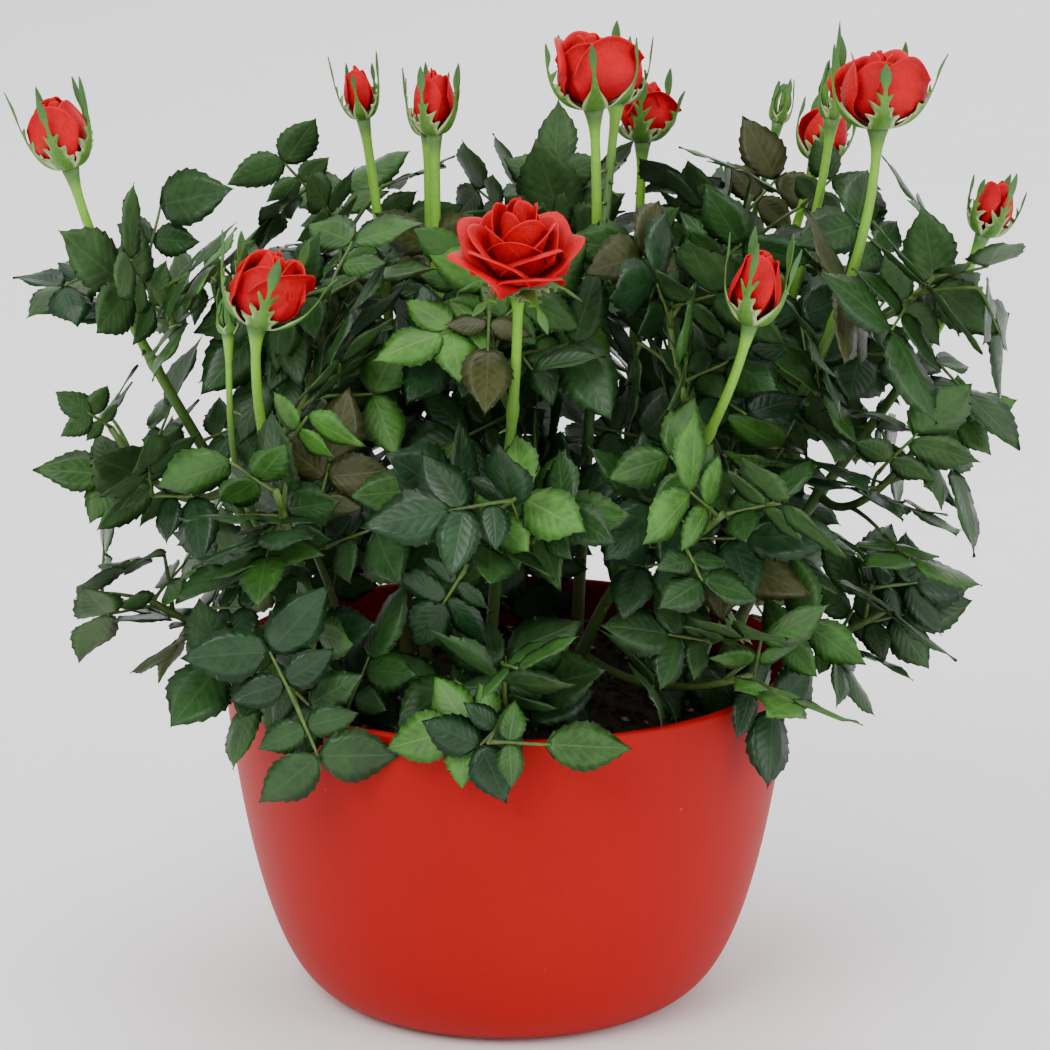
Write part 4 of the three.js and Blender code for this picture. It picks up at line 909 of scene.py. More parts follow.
# Whether the line from start to end passes through a triangle: the crossing's shares of the line and of the
# triangle's two edges all lie between 0 and 1.
def pierces(start, end, triangle):
    edgeA, edgeB = triangle[..., 1, :] - triangle[..., 0, :], triangle[..., 2, :] - triangle[..., 0, :]
    ray = end - start
    square = np.cross(ray, edgeB)
    turn = dot(edgeA, square)
    turn = np.where(np.abs(turn) < 1e-12, 1e-12, turn)
    gap = start - triangle[..., 0, :]
    u = dot(gap, square) / turn
    lift = np.cross(gap, edgeA)
    v = dot(ray, lift) / turn
    t = dot(edgeB, lift) / turn
    return (u >= 0) & (v >= 0) & (u + v <= 1) & (t >= 0) & (t < 1)


# A shoot's own space: nearer to its middle than to any other, no further out than its reach, within the box
# of the solids, and below the shoot's top where it has one. The finer leaves may go over the border by some
# millimetres, and a little past the reach.
def inOwnSpace(points, shoot, over):
    away = points - shoot["middle"]
    top = shoot.get("top", boxHigh[2])
    inside = np.linalg.norm(away / shoot["radii"], axis=-1) <= (finer["wider"] if over else 1)
    inside &= ((points > boxLow) & (points < boxHigh)).all(-1) & (points[..., 2] < top)
    return inside & (away @ shoot["towards"].T < shoot["apart"] / 2 - leaflets["cellGap"] + over).all(-1)


# Clear of the bowl and the mix: all the low points lie outside the wall, or all lie inside it and above the
# mix.
def clearOfBowl(points):
    low = points[..., 2] < bowl["height"] + leaflets["bowlGap"]
    radius = np.hypot(points[..., 0], points[..., 1])
    wallRadius = bowlRadius(np.clip(points[..., 2], 0, bowl["height"]))
    outside = radius > wallRadius + leaflets["bowlGap"]
    inside = radius < bowl["rimRadius"] - bowl["wall"] - leaflets["wallGap"]
    inside &= points[..., 2] > mix["top"] + leaflets["mixGap"]
    return (outside | ~low).all(-1) | (inside | ~low).all(-1)


# Two blades cross where an edge of one passes through a face of the other, or where their middles nearly
# meet.
def crossAny(blades, others):
    apart = np.linalg.norm(blades["middle"][:, None] - others["middle"][None], axis=-1)
    reach = blades["length"][:, None] + others["length"][None]
    hit = (apart < leaflets["tooNear"] * reach).any(-1)
    close = (apart <= leaflets["mayCross"] * reach) & (apart >= leaflets["tooNear"] * reach)
    one, two = np.nonzero(close & ~hit[:, None])
    for first, second, a, b in ((blades, others, one, two), (others, blades, two, one)):
        edges, plates = first["edges"][a][:, :, None], second["plates"][b][:, None]
        through = pierces(edges[..., 0, :], edges[..., 1, :], plates).any((-1, -2))
        hit[one[through]] = True
    return hit


# Which blades lie in the shoot's space and clear of the bowl, of every ball, of the blades grown before and
# of the twigs. The dearer tests look only at the blades that are still live.
def bladesFit(blades, shoot, grown, twigs, over):
    corners = np.stack([blades["tip"], blades["left"], blades["right"]], -2)
    fits = inOwnSpace(corners, shoot, over).all(-1)
    share = array([0.1, 0.25, 0.42, 0.6, 0.8, 1])
    widest = leaflets["widest"]
    wide = np.where(share < widest, share / widest, (1 - share) / (1 - widest))
    along, across = np.meshgrid(share, [-1, -0.5, 0, 0.5, 1], indexing="ij")
    across = across * wide[:, None]
    live = np.nonzero(fits)[0]
    part = chosen(blades, live)
    ahead = along.ravel() * part["length"][:, None]
    spots = part["base"][:, None] + part["axis"][:, None] * ahead[..., None]
    spots = spots + part["side"][:, None] * (across.ravel() * part["half"][:, None])[..., None]
    good = clearOfBowl(spots)
    live, part = live[good], chosen(part, good)
    room = shoot["ballRadii"] + leaflets["clearance"]
    away = shoot["balls"][None] - part["base"][:, None]
    along = dot(away, part["axis"][:, None]) / part["length"][:, None]
    lip = room / part["length"][:, None]
    wide = np.where(along < widest, along / widest, (1 - along) / (1 - widest))
    clear = (along < -lip) | (along > 1 + lip)
    clear |= np.abs(dot(away, part["normal"][:, None])) > room + leaflets["arch"] * part["length"][:, None]
    clear |= np.abs(dot(away, part["side"][:, None])) > np.maximum(0, wide) * part["half"][:, None] + room
    good = clear.all(-1)
    live, part = live[good], chosen(part, good)
    if len(live) and grown is not None and len(grown["length"]):
        good = ~crossAny(part, grown)
        live, part = live[good], chosen(part, good)
    if len(live):
        through = pierces(twigs[None, :, None, 0], twigs[None, :, None, 1], part["plates"][:, None])
        live = live[~through.any((-1, -2))]
    fits = np.zeros(len(fits), bool)
    fits[live] = True
    return fits


def twigsFit(start, end, shoot, grown, over):
    fits = inOwnSpace(end, shoot, over)
    share = (np.arange(12) + 1) / 12
    spots = start[:, None] + (end - start)[:, None] * share[:, None]
    fits &= clearOfBowl(spots)
    live = np.nonzero(fits)[0]
    apart = np.linalg.norm(spots[live][:, :, None] - shoot["balls"], axis=-1)
    room = shoot["ballRadii"] + leaflets["twigRadius"] + leaflets["clearance"]
    live = live[(apart > room).all((-1, -2))]
    if len(live) and grown is not None and len(grown["length"]):
        through = pierces(start[live][:, None, None], end[live][:, None, None], grown["plates"][None])
        live = live[~through.any((-1, -2))]
    fits = np.zeros(len(fits), bool)
    fits[live] = True
    return fits


boxLow, boxHigh = array(cadLow) / millimetre - 0.5, array(cadHigh) / millimetre + 0.5
leafletRows = [(1, 0, 1, 1.6), (leaflets["secondPair"], 1.2, 0.84, 0.25), (0, 1.45, 0.56, 0.25),
               (leaflets["secondPair"], -1.2, 0.84, 0.25), (0, -1.45, 0.56, 0.25)]


# Full leaves at once: a stalk along direction, one leaflet at its end and two pairs at its sides. The
# leaflets that don't fit are left out, and the leaf that fills the plant best is kept: one for each leaflet,
# and up to two more for its distance to the nearest one over the crowding distance.
def bestLeaf(shoot, start, direction, normal, length, grown, twigs, everyMiddle, least, over=0.0):
    count = len(length)
    lower = start + direction * (length * leaflets["lowerStalk"])[:, None]
    end = lower + direction * (length * leaflets["upperStalk"])[:, None]
    standing = twigsFit(start, end, shoot, grown, over)
    square = np.cross(normal, direction)
    axes, bases, lengths = [], [], []
    for share, turn, size, sink in leafletRows:
        axis = direction * np.cos(turn) + square * np.sin(turn)
        axes.append(axis)
        bases.append(lower + (end - lower) * share - axis * sink)
        lengths.append(length * size + sink)
    rows = len(leafletRows)
    axis, base = np.stack(axes, 1).reshape(-1, 3), np.stack(bases, 1).reshape(-1, 3)
    long = np.stack(lengths, 1).reshape(-1)
    blades = bladesOf(base, axis, np.repeat(normal, rows, 0), long)
    fits = np.repeat(standing, rows)
    live = np.nonzero(fits)[0]
    if not len(live):
        return None
    fits[live] = bladesFit(chosen(blades, live), shoot, grown, twigs, over)
    fits = fits.reshape(count, rows)
    if everyMiddle is None or not len(everyMiddle):
        worth = fits * 3.0
    else:
        nearest = np.full(count * rows, np.inf)
        live = np.nonzero(fits.reshape(-1))[0]
        if len(live):
            nearest[live] = np.linalg.norm(blades["middle"][live][:, None] - everyMiddle, axis=-1).min(-1)
        worth = fits * (1 + np.minimum(2, nearest.reshape(count, rows) / leaflets["crowding"]))
    worth = worth.sum(-1)
    worth[fits.sum(-1) < least] = -1
    best = int(np.argmax(worth))
    if worth[best] <= 0:
        return None
    mask = np.zeros((count, rows), bool)
    mask[best] = fits[best]
    return dict(stalk=np.stack([start[best], end[best]]), normal=normal[best],
                blades=chosen(blades, mask.reshape(-1)), grade=np.nonzero(fits[best])[0])


# The face of a leaf: up and out, varied by two random numbers, and square to its stalk.
def facing(direction, numbers, out):
    normal = np.concatenate([numbers - 0.5, np.full((len(numbers), 1), 0.6)], -1) + out * 0.85
    return unit(normal - direction * dot(normal, direction)[:, None])


# Leaves spring from the stem by the golden angle and turn their faces up and out. The first ones reach for
# the shoot's far tips. Each later one is the best of those that the seeded rule draws.
def growShoot(shoot, number, everyBlade):
    draw = seededNumbers(leaflets["seed"] + number * 101)
    out = unit(shoot["middle"] * [1, 1, 0])
    knots = jointedPoint(shoot["line"], leaflets["stations"], np.arange(7) / 6)
    twigs = np.stack([knots[:-1], knots[1:]], 1)
    leaves = []
    whole = 1 + leaflets["lowerStalk"] + leaflets["upperStalk"]

    def attempt(start, direction, normal, length, least):
        nonlocal twigs
        grown = together([leaf["blades"] for leaf in leaves]) if leaves else None
        middles = np.concatenate(everyBlade) if everyBlade else None
        leaf = bestLeaf(shoot, start, direction, normal, length, grown, twigs, middles, least)
        if leaf is not None:
            leaves.append(leaf)
            everyBlade.append(leaf["blades"]["middle"])
            twigs = np.concatenate([twigs, leaf["stalk"][None]])

    for tip in shoot.get("tips", []):
        start = jointedPoint(shoot["line"], leaflets["stations"], array([0.5, 0.6, 0.7, 0.8, 0.9, 1]))
        towards = array(tip) - start
        direction = unit(towards)
        length = np.linalg.norm(towards, axis=-1) / whole
        attempt(start, direction, facing(direction, draw(6, 2), out), length, 1)
    for turnNumber in range(leaflets["rounds"]):
        if sum(len(leaf["blades"]["length"]) for leaf in leaves) >= leaflets["mostOnShoot"]:
            break
        numbers = draw(leaflets["choices"], 5)
        along = 0.3 + 0.7 * numbers[:, 0]
        ahead = bezierTangent(shoot["line"], along)
        side, lift = framed(ahead)
        cos = 1.5 * numbers[:, 1] - 0.6
        sin = np.sqrt(np.maximum(0, 1 - cos * cos))
        steps = turnNumber * leaflets["choices"] + np.arange(leaflets["choices"])
        turn = steps * leaflets["goldenAngle"] + number
        direction = ahead * cos[:, None] + side * (sin * np.cos(turn))[:, None]
        direction = unit(direction + lift * (sin * np.sin(turn))[:, None])
        length = leaflets["length"] * (1 + leaflets["spread"] * (numbers[:, 2] - 0.6))
        start = jointedPoint(shoot["line"], leaflets["stations"], along)
        attempt(start, direction, facing(direction, numbers[:, 3:], out), length, 3)
    return leaves, twigs


# The finer growth: side twigs leave each stem by the golden angle, and smaller leaves spring from stem and
# twigs into the room that is left, a little over the border of the shoot's own space. They are fewer at the
# far sides and low down. Leaves on the canes fill the middle.
finer = dict(twigs=6, twigShare=0.6, length=28.0, spread=0.5, rounds=20, choices=80, most=32, sparseFrom=70.0,
             sparser=0.5, fullAt=205.0, thinAt=110.0, thinner=0.55, over=10.0, wider=1.12, forward=50.0,
             frontUpTo=20.0, seed=5003, twigRadius=0.75, twigTip=0.5, near=110.0, onLine=0.05, pastLeaf=0.05,
             stemShare=0.65, caneShare=0.45)
onCanes = dict(most=dict(far_left=8, back_left=22, left_centre=22, tall_centre=22, back_centre=20,
                         tall_right=34, right_green_bud=22, back_right=22, far_right=14,
                         back_right_green_bud=20),
               middle=0.52, forward=18.0, reach=(46, 46, 62), rounds=22, length=32.0, top=232.0, seed=9001)


def layTwigs(shoot, number, draw):
    along = 0.25 + 0.7 * (np.arange(finer["twigs"]) + draw(finer["twigs"])) / finer["twigs"]
    ahead = bezierTangent(shoot["line"], along)
    side, lift = framed(ahead)
    turn = np.arange(finer["twigs"]) * leaflets["goldenAngle"] + number
    direction = unit(ahead * 0.8 + side * np.cos(turn)[:, None] + lift * np.sin(turn)[:, None] + [0, 0, 0.25])
    start = jointedPoint(shoot["line"], leaflets["stations"], along)
    reach = finer["twigShare"] * shoot["radii"].mean() * (0.6 + 0.5 * draw(finer["twigs"]))
    end = start + direction * reach[:, None]
    keep = twigsFit(start, end, shoot, None, 0.0)
    return np.stack([start[keep], end[keep]], 1)


# The side twigs that bear leaves, each cut off a little past the last leaf that starts on its line.
def leafyTwigs(sideTwigs, starts):
    line = sideTwigs[:, None, 1] - sideTwigs[:, None, 0]
    gap = starts - sideTwigs[:, None, 0]
    share = dot(gap, line) / dot(line, line)
    onLine = np.linalg.norm(gap - line * share[..., None], axis=-1) < finer["onLine"]
    last = np.minimum(1, np.where(onLine, share, 0).max(-1) + finer["pastLeaf"])[:, None]
    cut = np.stack([sideTwigs[:, 0], sideTwigs[:, 0] + line[:, 0] * last], 1)
    return cut[onLine.any(-1)]


# Places for new leaves: shares of the way along the limb's own line, or along one of its straight side twigs.
def springs(shoot, sideTwigs, share, stations):
    pick = np.arange(len(share)) % (len(sideTwigs) + 1) - 1
    start, ahead = jointedPoint(shoot["line"], stations, share), bezierTangent(shoot["line"], share)
    if len(sideTwigs):
        twig = sideTwigs[pick]
        onTwig = (pick >= 0)[:, None]
        start = np.where(onTwig, twig[:, 0] + (twig[:, 1] - twig[:, 0]) * share[:, None], start)
        ahead = np.where(onTwig, unit(twig[:, 1] - twig[:, 0]), ahead)
    return start, ahead


# Leaves added to a limb, the best choice of each round, until there are as many as the limb may bear. Those
# of the front half face forward.
def fillRoom(shoot, sideTwigs, twigs, draw, sizes, stations, reach, most):
    forward = finer["forward"] * (shoot["middle"][1] < finer["frontUpTo"])
    out = unit(shoot["middle"] * [1, 1, 0] - [0, forward, 0])
    added = 0
    for turnNumber in range(sizes["rounds"]):
        if added >= most:
            break
        numbers = draw(finer["choices"], 6)
        start, ahead = springs(shoot, sideTwigs, 0.35 + reach * numbers[:, 0], stations)
        side, lift = framed(ahead)
        cos = 1.5 * numbers[:, 1:2] - 0.5
        sin = np.sqrt(np.maximum(0, 1 - cos * cos))
        turn = numbers[:, 5:] * fullTurn
        direction = unit(ahead * cos + side * sin * np.cos(turn) + lift * sin * np.sin(turn))
        length = sizes["length"] * (1 + finer["spread"] * (numbers[:, 2] - 0.5))
        grown = together([leaf["blades"] for leaf in allLeaves
                          if np.linalg.norm(leaf["blades"]["middle"][0] - shoot["middle"]) < finer["near"]])
        normal = facing(direction, numbers[:, 3:5], out)
        leaf = bestLeaf(shoot, start, direction, normal, length, grown, twigs, np.concatenate(middles), 2,
                        finer["over"])
        if leaf is not None:
            allLeaves.append(leaf)
            middles.append(leaf["blades"]["middle"])
            twigs = np.concatenate([twigs, leaf["stalk"][None]])
            added += len(leaf["blades"]["length"])


# The balls that a limb's leaves could meet, without those of the limb itself.
def ballsNear(middle, reach, owner):
    near = np.linalg.norm(balls - middle, axis=-1) < max(reach) + 12
    near &= ballOwners != owner
    return dict(balls=balls[near], ballRadii=ballRadii[near])


# A cane with the room round its middle part, as a shoot without neighbours.
def caneAsShoot(flower, number):
    middle = jointedPoint(flower["line"], canes["stations"], array([onCanes["middle"]]))[0]
    middle = middle - [0, onCanes["forward"] * (middle[1] < finer["frontUpTo"]), 0]
    near = ballsNear(middle, onCanes["reach"], -1 - number)
    return dict(line=flower["line"], middle=middle, radii=array(onCanes["reach"]), top=onCanes["top"],
                towards=np.zeros((0, 3)), apart=np.zeros(0), **near)


layStems()
balls, ballRadii, ballOwners = strungBalls()
for number, shoot in enumerate(shoots):
    shoot.update(ballsNear(shoot["middle"], shoot["reach"], number))
middles, allLeaves, shootTwigs, finerTwigs = [], [], [], []
for number, shoot in enumerate(shoots):
    leaves, twigs = growShoot(shoot, number, middles)
    allLeaves += leaves
    shootTwigs.append(twigs)
print("leaflets of the main leaves:", sum(len(leaf["grade"]) for leaf in allLeaves))
for number, (shoot, twigs) in enumerate(zip(shoots, shootTwigs)):
    draw = seededNumbers(finer["seed"] + number * 131)
    sideTwigs = layTwigs(shoot, number, draw)
    before = len(allLeaves)
    sideways = np.clip(np.abs(shoot["middle"][0]) / finer["sparseFrom"] - 1, 0, 0.5) * 2
    lowDown = np.clip((finer["fullAt"] - shoot["middle"][2]) / (finer["fullAt"] - finer["thinAt"]), 0, 1)
    most = finer["most"] * (1 - finer["sparser"] * sideways) * (1 - finer["thinner"] * lowDown)
    fillRoom(shoot, sideTwigs, np.concatenate([twigs, sideTwigs]), draw, finer, leaflets["stations"],
             finer["stemShare"], most)
    starts = array([leaf["stalk"][0] for leaf in allLeaves[before:]]).reshape(-1, 3)
    if len(sideTwigs) and len(starts):
        finerTwigs.append(leafyTwigs(sideTwigs, starts))
print("leaflets with the finer growth:", sum(len(leaf["grade"]) for leaf in allLeaves))
for number, flower in enumerate(flowers):
    if flower["name"] in onCanes["most"]:
        knots = jointedPoint(flower["line"], canes["stations"], np.linspace(0, 1, 9))
        draw = seededNumbers(onCanes["seed"] + number * 131)
        fillRoom(caneAsShoot(flower, number), np.zeros((0, 2, 3)), np.stack([knots[:-1], knots[1:]], 1), draw,
                 onCanes, canes["stations"], finer["caneShare"], onCanes["most"][flower["name"]])
print("leaflets in all:", sum(len(leaf["grade"]) for leaf in allLeaves))

foliageNodes = ["foliage_" + shoot["name"] for shoot in shoots]

blade = dict(teeth=8, toothDepth=0.085, toothForward=0.8, halfWay=0.52, thickness=0.32,
             widthShare=(0.54, 0.68), fold=(-0.2, 0.26), curl=(0.02, 0.2), droop=(-0.1, 0.5), ripple=0.022,
             twist=0.25, baseWidth=0.05, seed=77)


# One leaflet's outline and faces: columns at the two edges, the two half-way lines and the midrib. The edge
# has a notch at each row and a forward tooth between rows. Both sides share the edge and the two ends, so it
# is closed, and every face has a corner off the edge, so that the two sides never lie in one plane.
def bladeTemplate():
    teeth = blade["teeth"]
    row = np.arange(teeth + 1) / teeth
    edgeAlong = np.arange(2 * teeth + 1) / (2 * teeth)
    edgeAlong[1::2] = row[:-1] + blade["toothForward"] / teeth
    edgeTooth = np.tile([0, blade["toothDepth"]], teeth + 1)[:-1]
    edgeCount = len(edgeAlong)
    inner = teeth + 1
    along = np.concatenate([edgeAlong, edgeAlong, np.tile(row, 6)])
    columnAcross = [blade["halfWay"], 0, -blade["halfWay"]] * 2
    across = np.concatenate([np.ones(edgeCount), -np.ones(edgeCount), np.repeat(columnAcross, inner)])
    tooth = np.concatenate([edgeTooth, -edgeTooth, np.zeros(6 * inner)])
    layer = np.concatenate([np.zeros(2 * edgeCount), np.ones(3 * inner), -np.ones(3 * inner)])
    edges = np.stack([np.arange(edgeCount), np.arange(edgeCount) + edgeCount])
    top = np.arange(3 * inner).reshape(3, inner) + 2 * edgeCount
    bottom = top + 3 * inner
    layer[top[:, [0, -1]]] = 0
    bottom[:, [0, -1]] = top[:, [0, -1]]
    quads, notches = [], []
    for face, columns in ((0, top), (1, bottom)):
        for hand in (0, 1):
            half, rib, edge = columns[2 * hand], columns[1], edges[hand]
            inside = np.stack([rib[:-1], rib[1:], half[1:], half[:-1]], -1)
            outside = np.stack([half[:-1], half[1:], edge[2::2], edge[1::2]], -1)
            notch = np.stack([half[:-1], edge[1::2], edge[:-1:2]], -1)
            order = -1 if (hand + face) % 2 else 1
            quads.append(np.concatenate([inside, outside])[:, ::order])
            notches.append(notch[:, ::order])
    sides = [np.repeat([0, 1], sum(len(some) for some in sets) // 2) for sets in (quads, notches)]
    quads, notches = np.concatenate(quads), np.concatenate(notches)
    used, flat = np.unique(np.concatenate([quads.ravel(), notches.ravel()]), return_inverse=True)
    quads, notches = flat[:quads.size].reshape(quads.shape), flat[quads.size:].reshape(notches.shape)
    return along[used], across[used], tooth[used], layer[used], [quads, notches], sides


# Leaflets laid out on their bases and axes. The half width is sin(pi s^0.8) to a power that rises with s,
# the two halves fold by |y| and droop by y^2, and the blade curls down by s^2, ripples towards its edge and
# twists along its length.
def leafletMesh(blades, chance):
    along, across, tooth, layer, faceSets, faceSides = bladeTemplate()
    count = len(blades["length"])
    vary = lambda low, high: chance.uniform(low, high, (count, 1))
    s = np.clip(along, 0, 1)
    wide = np.maximum(np.sin(np.pi * s ** 0.8), 0) ** (0.84 + 0.4 * s)
    wide = np.maximum(wide, blade["baseWidth"] * (1 - s))
    length = blades["length"][:, None]
    y = (across * wide + tooth * np.minimum(wide * 2, 1)) * length * vary(*blade["widthShare"]) / 2
    fold, curl = vary(*blade["fold"]), vary(*blade["curl"])
    z = fold * np.abs(y) - curl * length * s ** 2 * 0.8
    z = z + blade["ripple"] * length * np.sin(fullTurn * (1.6 * s + vary(0, 1)) + across * 1.5) * across ** 2
    z = z - (np.abs(y) / length) ** 2 * length * vary(*blade["droop"])
    x = s * length - (curl * s) ** 2 * length * 0.4
    thick = layer * blade["thickness"] / 2
    twist = vary(-1, 1) * blade["twist"] * s
    y, z = y * np.cos(twist) - z * np.sin(twist), y * np.sin(twist) + z * np.cos(twist) + thick
    points = blades["base"][:, None] + blades["axis"][:, None] * x[..., None]
    points = points + blades["side"][:, None] * y[..., None] + blades["normal"][:, None] * z[..., None]
    uv = np.tile(np.stack([s, across * 0.5 + 0.5], -1), (count, 1))
    size = len(along)
    faces = [repeated(some, count, size) for some in faceSets]
    sides = np.concatenate([np.tile(some, count) for some in faceSides])
    return points.reshape(-1, 3), faces, uv, sides


# Leaf colours: the shares of the leaves that each takes low down and at the top of the plant, its upper face,
# its veins and its gloss.
leafColours = dict(
    dark=dict(shares=(0.50, 0.38), colour=(0.0145, 0.048, 0.0095), vein=(0.034, 0.086, 0.020), gloss=0.37),
    deep=dict(shares=(0.30, 0.16), colour=(0.010, 0.036, 0.0105), vein=(0.023, 0.060, 0.019), gloss=0.33),
    mid=dict(shares=(0.15, 0.30), colour=(0.026, 0.083, 0.012), vein=(0.057, 0.13, 0.026), gloss=0.38),
    young=dict(shares=(0.05, 0.09), colour=(0.05, 0.15, 0.02), vein=(0.11, 0.23, 0.05), gloss=0.42),
    bronze=dict(shares=(0.0, 0.07), colour=(0.036, 0.042, 0.010), vein=(0.08, 0.072, 0.022), gloss=0.4),
)
leafFinish = dict(under=(0.032, 0.078, 0.020), underVein=(0.06, 0.13, 0.035), underGloss=0.55, lowUp=110.0,
                  highUp=220.0, veins=8.0, slant=2.3, topVeins=0.6, underVeins=0.5, darker=0.62, lighter=1.45,
                  roughness=(-0.05, 0.08), coarse=60.0, fine=420.0, grainShare=0.25, specular=0.3, relief=0.3,
                  depth=0.00016)


# A leaf's face: its colour mottled darker and lighter, paler veins, and a relief that swells between them.
def leafMaterial(name, colour, vein, gloss, veinShare):
    material, shading, place, surface = newMaterial(name)
    pattern = {"Surface": surface, "Count": leafFinish["veins"], "Slant": leafFinish["slant"]}
    veins = shading.group(leafVeins, pattern)
    tone, grain = mottled(shading, place, leafFinish)
    dark = [c * leafFinish["darker"] for c in colour]
    light = [min(1.0, c * leafFinish["lighter"]) for c in colour]
    base = shading.mix(tone, dark, light)
    base = shading.mix(shading.math("MULTIPLY", veins["Veins"], veinShare), base, vein)
    shiny, dull = [gloss + change for change in leafFinish["roughness"]]
    roughness = shading.ramp(grain, 0.3, 0.7, shiny, dull)
    height = shading.math("SUBTRACT", veins["Swell"], veins["Veins"])
    height = shading.math("MULTIPLY_ADD", grain, leafFinish["grainShare"], height)
    finishMaterial(shading, base, roughness, leafFinish, height)
    return material


def buildLeaves():
    chance = np.random.default_rng(blade["seed"])
    under = leafMaterial("leafUnderside", leafFinish["under"], leafFinish["underVein"],
                         leafFinish["underGloss"], leafFinish["underVeins"])
    names = list(leafColours)
    low, high = array([leafColours[name]["shares"] for name in names]).T
    height = array([leaf["blades"]["middle"][0, 2] for leaf in allLeaves]) - leafFinish["lowUp"]
    height = np.clip(height / (leafFinish["highUp"] - leafFinish["lowUp"]), 0, 1)[:, None]
    reached = np.cumsum(low + (high - low) * height, axis=1)
    dealt = (chance.uniform(0, 1, (len(allLeaves), 1)) * reached[:, -1:] > reached).sum(-1)
    for number, name in enumerate(names):
        colour = leafColours[name]
        top = leafMaterial("leafTop_" + name, colour["colour"], colour["vein"], colour["gloss"],
                           leafFinish["topVeins"])
        blades = together([leaf["blades"] for leaf, kind in zip(allLeaves, dealt) if kind == number])
        points, faces, uv, sides = leafletMesh(blades, chance)
        makePiece("leaves_" + name, points, faces, [top, under], foliageNodes, uv, sides)


buildLeaves()
print("leaves built")


# Points along a Bezier curve, after one that lies inside what carries it.
def sampledLine(corners, start, count):
    line = bezier(corners, np.linspace(0, 1, count))
    return np.concatenate([array(start)[None], line])


# Brown-green at the foot, fresh green at the neck and darker again at the hip.
def caneMaterial():
    material, shading, place, surface = newMaterial("caneSkin")
    along = shading.add("ShaderNodeSeparateXYZ", {0: surface}).outputs[0]
    tone, grain = mottled(shading, place, caneFinish)
    base = shading.mix(shading.ramp(along, 0.05, 0.35), caneFinish["foot"], caneFinish["middle"])
    base = shading.mix(shading.ramp(along, 0.5, 0.93), base, caneFinish["neck"])
    base = shading.mix(shading.ramp(along, 0.955, 0.985), base, caneFinish["hip"])
    base = shading.mix(shading.math("MULTIPLY", tone, caneFinish["fleckShare"]), base, caneFinish["fleck"])
    roughness = shading.ramp(grain, 0.3, 0.7, *caneFinish["roughness"])
    finishMaterial(shading, base, roughness, caneFinish, grain)
    return material


# The canes are a little slimmer than their solids up to the hip, swell where a shoot leaves them, and carry
# small hooked prickles by the golden angle.
def buildCanes():
    skin = caneMaterial()
    chance = np.random.default_rng(canes["seed"])
    lines, radii, prickleLines = [], [], []
    along = np.linspace(0, 1, canes["rings"])
    for flower in flowers:
        line = sampledLine(flower["line"], flower["start"], canes["rings"])
        hipShare = np.clip((along - 1) * flower["length"] / canes["hipLength"] + 1, 0, 1)
        fullness = min(1, flower["width"] / canes["slimUnder"])
        slim = canes["slim"] * (canes["slimmest"] + (1 - canes["slimmest"]) * fullness)
        radius = caneRadius(flower, along) * (slim + (1 - slim) * hipShare)
        for shoot in shoots:
            if shoot["cane"] == flower["name"]:
                away = (along - shoot["at"]) * flower["length"] / canes["knobLength"]
                radius = radius + canes["knob"] * np.exp(-away ** 2)
        lines.append(line)
        radii.append(np.concatenate([radius[:1], radius]))
        at = np.sort(chance.uniform(0.05, 0.7, canes["prickles"]))
        foot = bezier(flower["line"], at)
        tangent = bezierTangent(flower["line"], at)
        side, lift = framed(tangent)
        turn = (np.arange(len(at)) * leaflets["goldenAngle"] + flower["width"])[:, None]
        out = side * np.cos(turn) + lift * np.sin(turn)
        size = canes["prickleLength"] * chance.uniform(0.6, 1.1, len(at))[:, None]
        foot = foot + out * (caneRadius(flower, at)[:, None] - 0.4)
        prickleLines.append(np.stack([foot, foot + out * size * 0.5 - tangent * size * 0.08,
                                      foot + out * size - tangent * size * 0.3], 1))
    stems = tubes(np.stack(lines), np.stack(radii), canes["sides"])
    prickleLines = np.concatenate(prickleLines)
    prickles = tubes(prickleLines, np.tile([0.8, 0.4, 0.06], (len(prickleLines), 1)), 5)
    points, faces, uv = joined([stems, prickles])
    makePiece("canes", points, faces, [skin], ["cane_" + flower["name"] for flower in flowers], uv)


twigTubes = dict(rings=14, sides=9, sideRings=5, sideSides=7, bow=4.0, stalkSides=6, stalkArch=0.22,
                 archTurn=0.74, stalkRadii=[0.75, 0.55, 0.5, 0.48, 0.45, 0.38])
twigFinish = dict(dark=(0.035, 0.055, 0.012), light=(0.085, 0.16, 0.025), coarse=45.0, fine=600.0,
                  roughness=(0.45, 0.6), specular=0.4, relief=0.3, depth=0.0005)


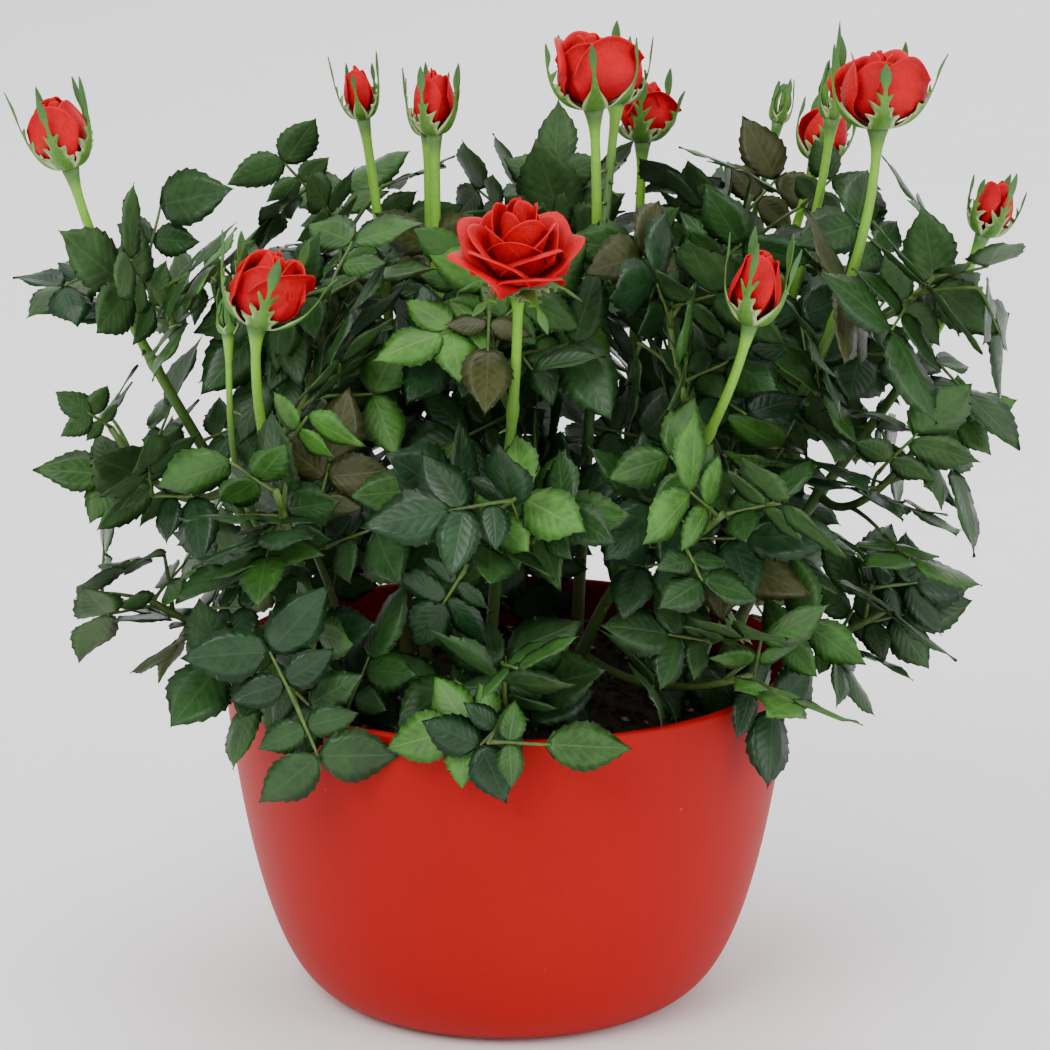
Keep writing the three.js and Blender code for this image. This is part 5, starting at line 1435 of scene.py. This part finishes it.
# Stems along their curves, side twigs that rise in the middle by s (1 - s), and leaf stalks that arch by
# s (1 - s) (turn - s) and end at their last leaflet.
def buildTwigs():
    rings = twigTubes["rings"]
    stems = np.stack([sampledLine(shoot["line"], shoot["start"], rings - 1) for shoot in shoots])
    stemRadii = np.tile(stemRadius(np.linspace(0, 1, rings)), (len(shoots), 1))
    side = np.concatenate(finerTwigs)
    share = np.linspace(0, 1, twigTubes["sideRings"])[:, None]
    bow = (share * (1 - share)) * [0, 0, twigTubes["bow"]]
    sideLines = side[:, :1] + (side[:, 1:] - side[:, :1]) * share + bow
    sideRadii = np.linspace(finer["twigRadius"], finer["twigTip"], twigTubes["sideRings"])
    stalks = np.stack([leaf["stalk"] for leaf in allLeaves])
    lowest = leaflets["lowerStalk"] / (leaflets["lowerStalk"] + leaflets["upperStalk"])
    pairAt = lowest + (1 - lowest) * leaflets["secondPair"]
    grades = [set(leaf["grade"]) for leaf in allLeaves]
    ends = array([1 if 0 in grade else pairAt if {1, 3} & grade else lowest for grade in grades])
    stalks[:, 1] = stalks[:, 0] + (stalks[:, 1] - stalks[:, 0]) * ends[:, None]
    normals = np.stack([leaf["normal"] for leaf in allLeaves])
    length = np.linalg.norm(stalks[:, 1] - stalks[:, 0], axis=-1)[:, None, None]
    share = np.linspace(0, 1, len(twigTubes["stalkRadii"]))[:, None]
    turn = twigTubes["archTurn"] - share
    arch = normals[:, None] * length * twigTubes["stalkArch"] * share * (1 - share) * turn
    stalkLines = stalks[:, :1] + (stalks[:, 1:] - stalks[:, :1]) * share + arch
    stalkRadii = np.tile(twigTubes["stalkRadii"], (len(stalks), 1))
    points, faces, uv = joined([tubes(stems, stemRadii, twigTubes["sides"]),
                                tubes(sideLines, np.tile(sideRadii, (len(side), 1)), twigTubes["sideSides"]),
                                tubes(stalkLines, stalkRadii, twigTubes["stalkSides"])])
    makePiece("twigs", points, faces, [grainyMaterial("twigSkin", twigFinish)], foliageNodes, uv)


buildCanes()
buildTwigs()
print("canes and twigs built")

# The pale floor, four soft lights and the camera. lights have a place in metres, a size and a power.
studio = dict(floorRadius=9000.0, floorCorners=96, cameraAim=(5.1, 0, 138.6), cameraDistance=1300.0,
              cameraRise=15.37, lens=154.5, sensor=36.0, lightAim=(0, 0, 0.15), surround=1.0,
              lights=dict(keyLight=((-0.9, -1.5, 1.7), 1.4, 34.0), fillLight=((1.5, -1.2, 0.9), 1.4, 17.0),
                          topLight=((0.1, 0.5, 2.1), 1.8, 26.0), rearLight=((0.3, 2.0, 0.9), 1.6, 7.0)))
floorFinish = dict(dark=(0.93, 0.93, 0.93), light=(0.95, 0.95, 0.95), coarse=3.0, fine=40.0, roughness=0.7,
                   specular=0.2)


def buildStudio():
    floorMaterial, shading, place, _ = newMaterial("paleFloor")
    tone, _ = mottled(shading, place, floorFinish)
    base = shading.mix(tone, floorFinish["dark"], floorFinish["light"])
    finishMaterial(shading, base, floorFinish["roughness"], floorFinish)
    corners = studio["floorCorners"]
    angle = np.arange(corners) * fullTurn / corners
    ring = np.stack([np.cos(angle), np.sin(angle), 0 * angle], -1) * studio["floorRadius"] * millimetre
    mesh = bpy.data.meshes.new("floor")
    mesh.from_pydata(ring.tolist(), [], [list(range(corners))])
    mesh.materials.append(floorMaterial)
    floor = bpy.data.objects.new("floor", mesh)
    bpy.context.scene.collection.objects.link(floor)
    for name, (place, size, power) in studio["lights"].items():
        light = bpy.data.lights.new(name, "AREA")
        light.shape, light.size, light.energy = "DISK", size, power
        lamp = bpy.data.objects.new(name, light)
        back = unit(array(place) - array(studio["lightAim"]))
        pitch, heading = np.arccos(back[2]), np.arctan2(back[1], back[0])
        lamp.location, lamp.rotation_euler = place, (0, pitch, heading)
        bpy.context.scene.collection.objects.link(lamp)
    world = bpy.data.worlds.new("paleSurround")
    world.use_nodes = True
    world.node_tree.nodes["Background"].inputs[0].default_value = (1, 1, 1, 1)
    world.node_tree.nodes["Background"].inputs[1].default_value = studio["surround"]
    bpy.context.scene.world = world
    camera = bpy.data.cameras.new("camera")
    camera.lens, camera.sensor_width, camera.clip_end = studio["lens"], studio["sensor"], 100
    rise = np.radians(studio["cameraRise"])
    view = bpy.data.objects.new("camera", camera)
    back = array([0, -np.cos(rise), np.sin(rise)]) * studio["cameraDistance"]
    view.location = (array(studio["cameraAim"]) + back) * millimetre
    view.rotation_euler = (np.pi / 2 - rise, 0, 0)
    bpy.context.scene.collection.objects.link(view)
    bpy.context.scene.camera = view


buildStudio()
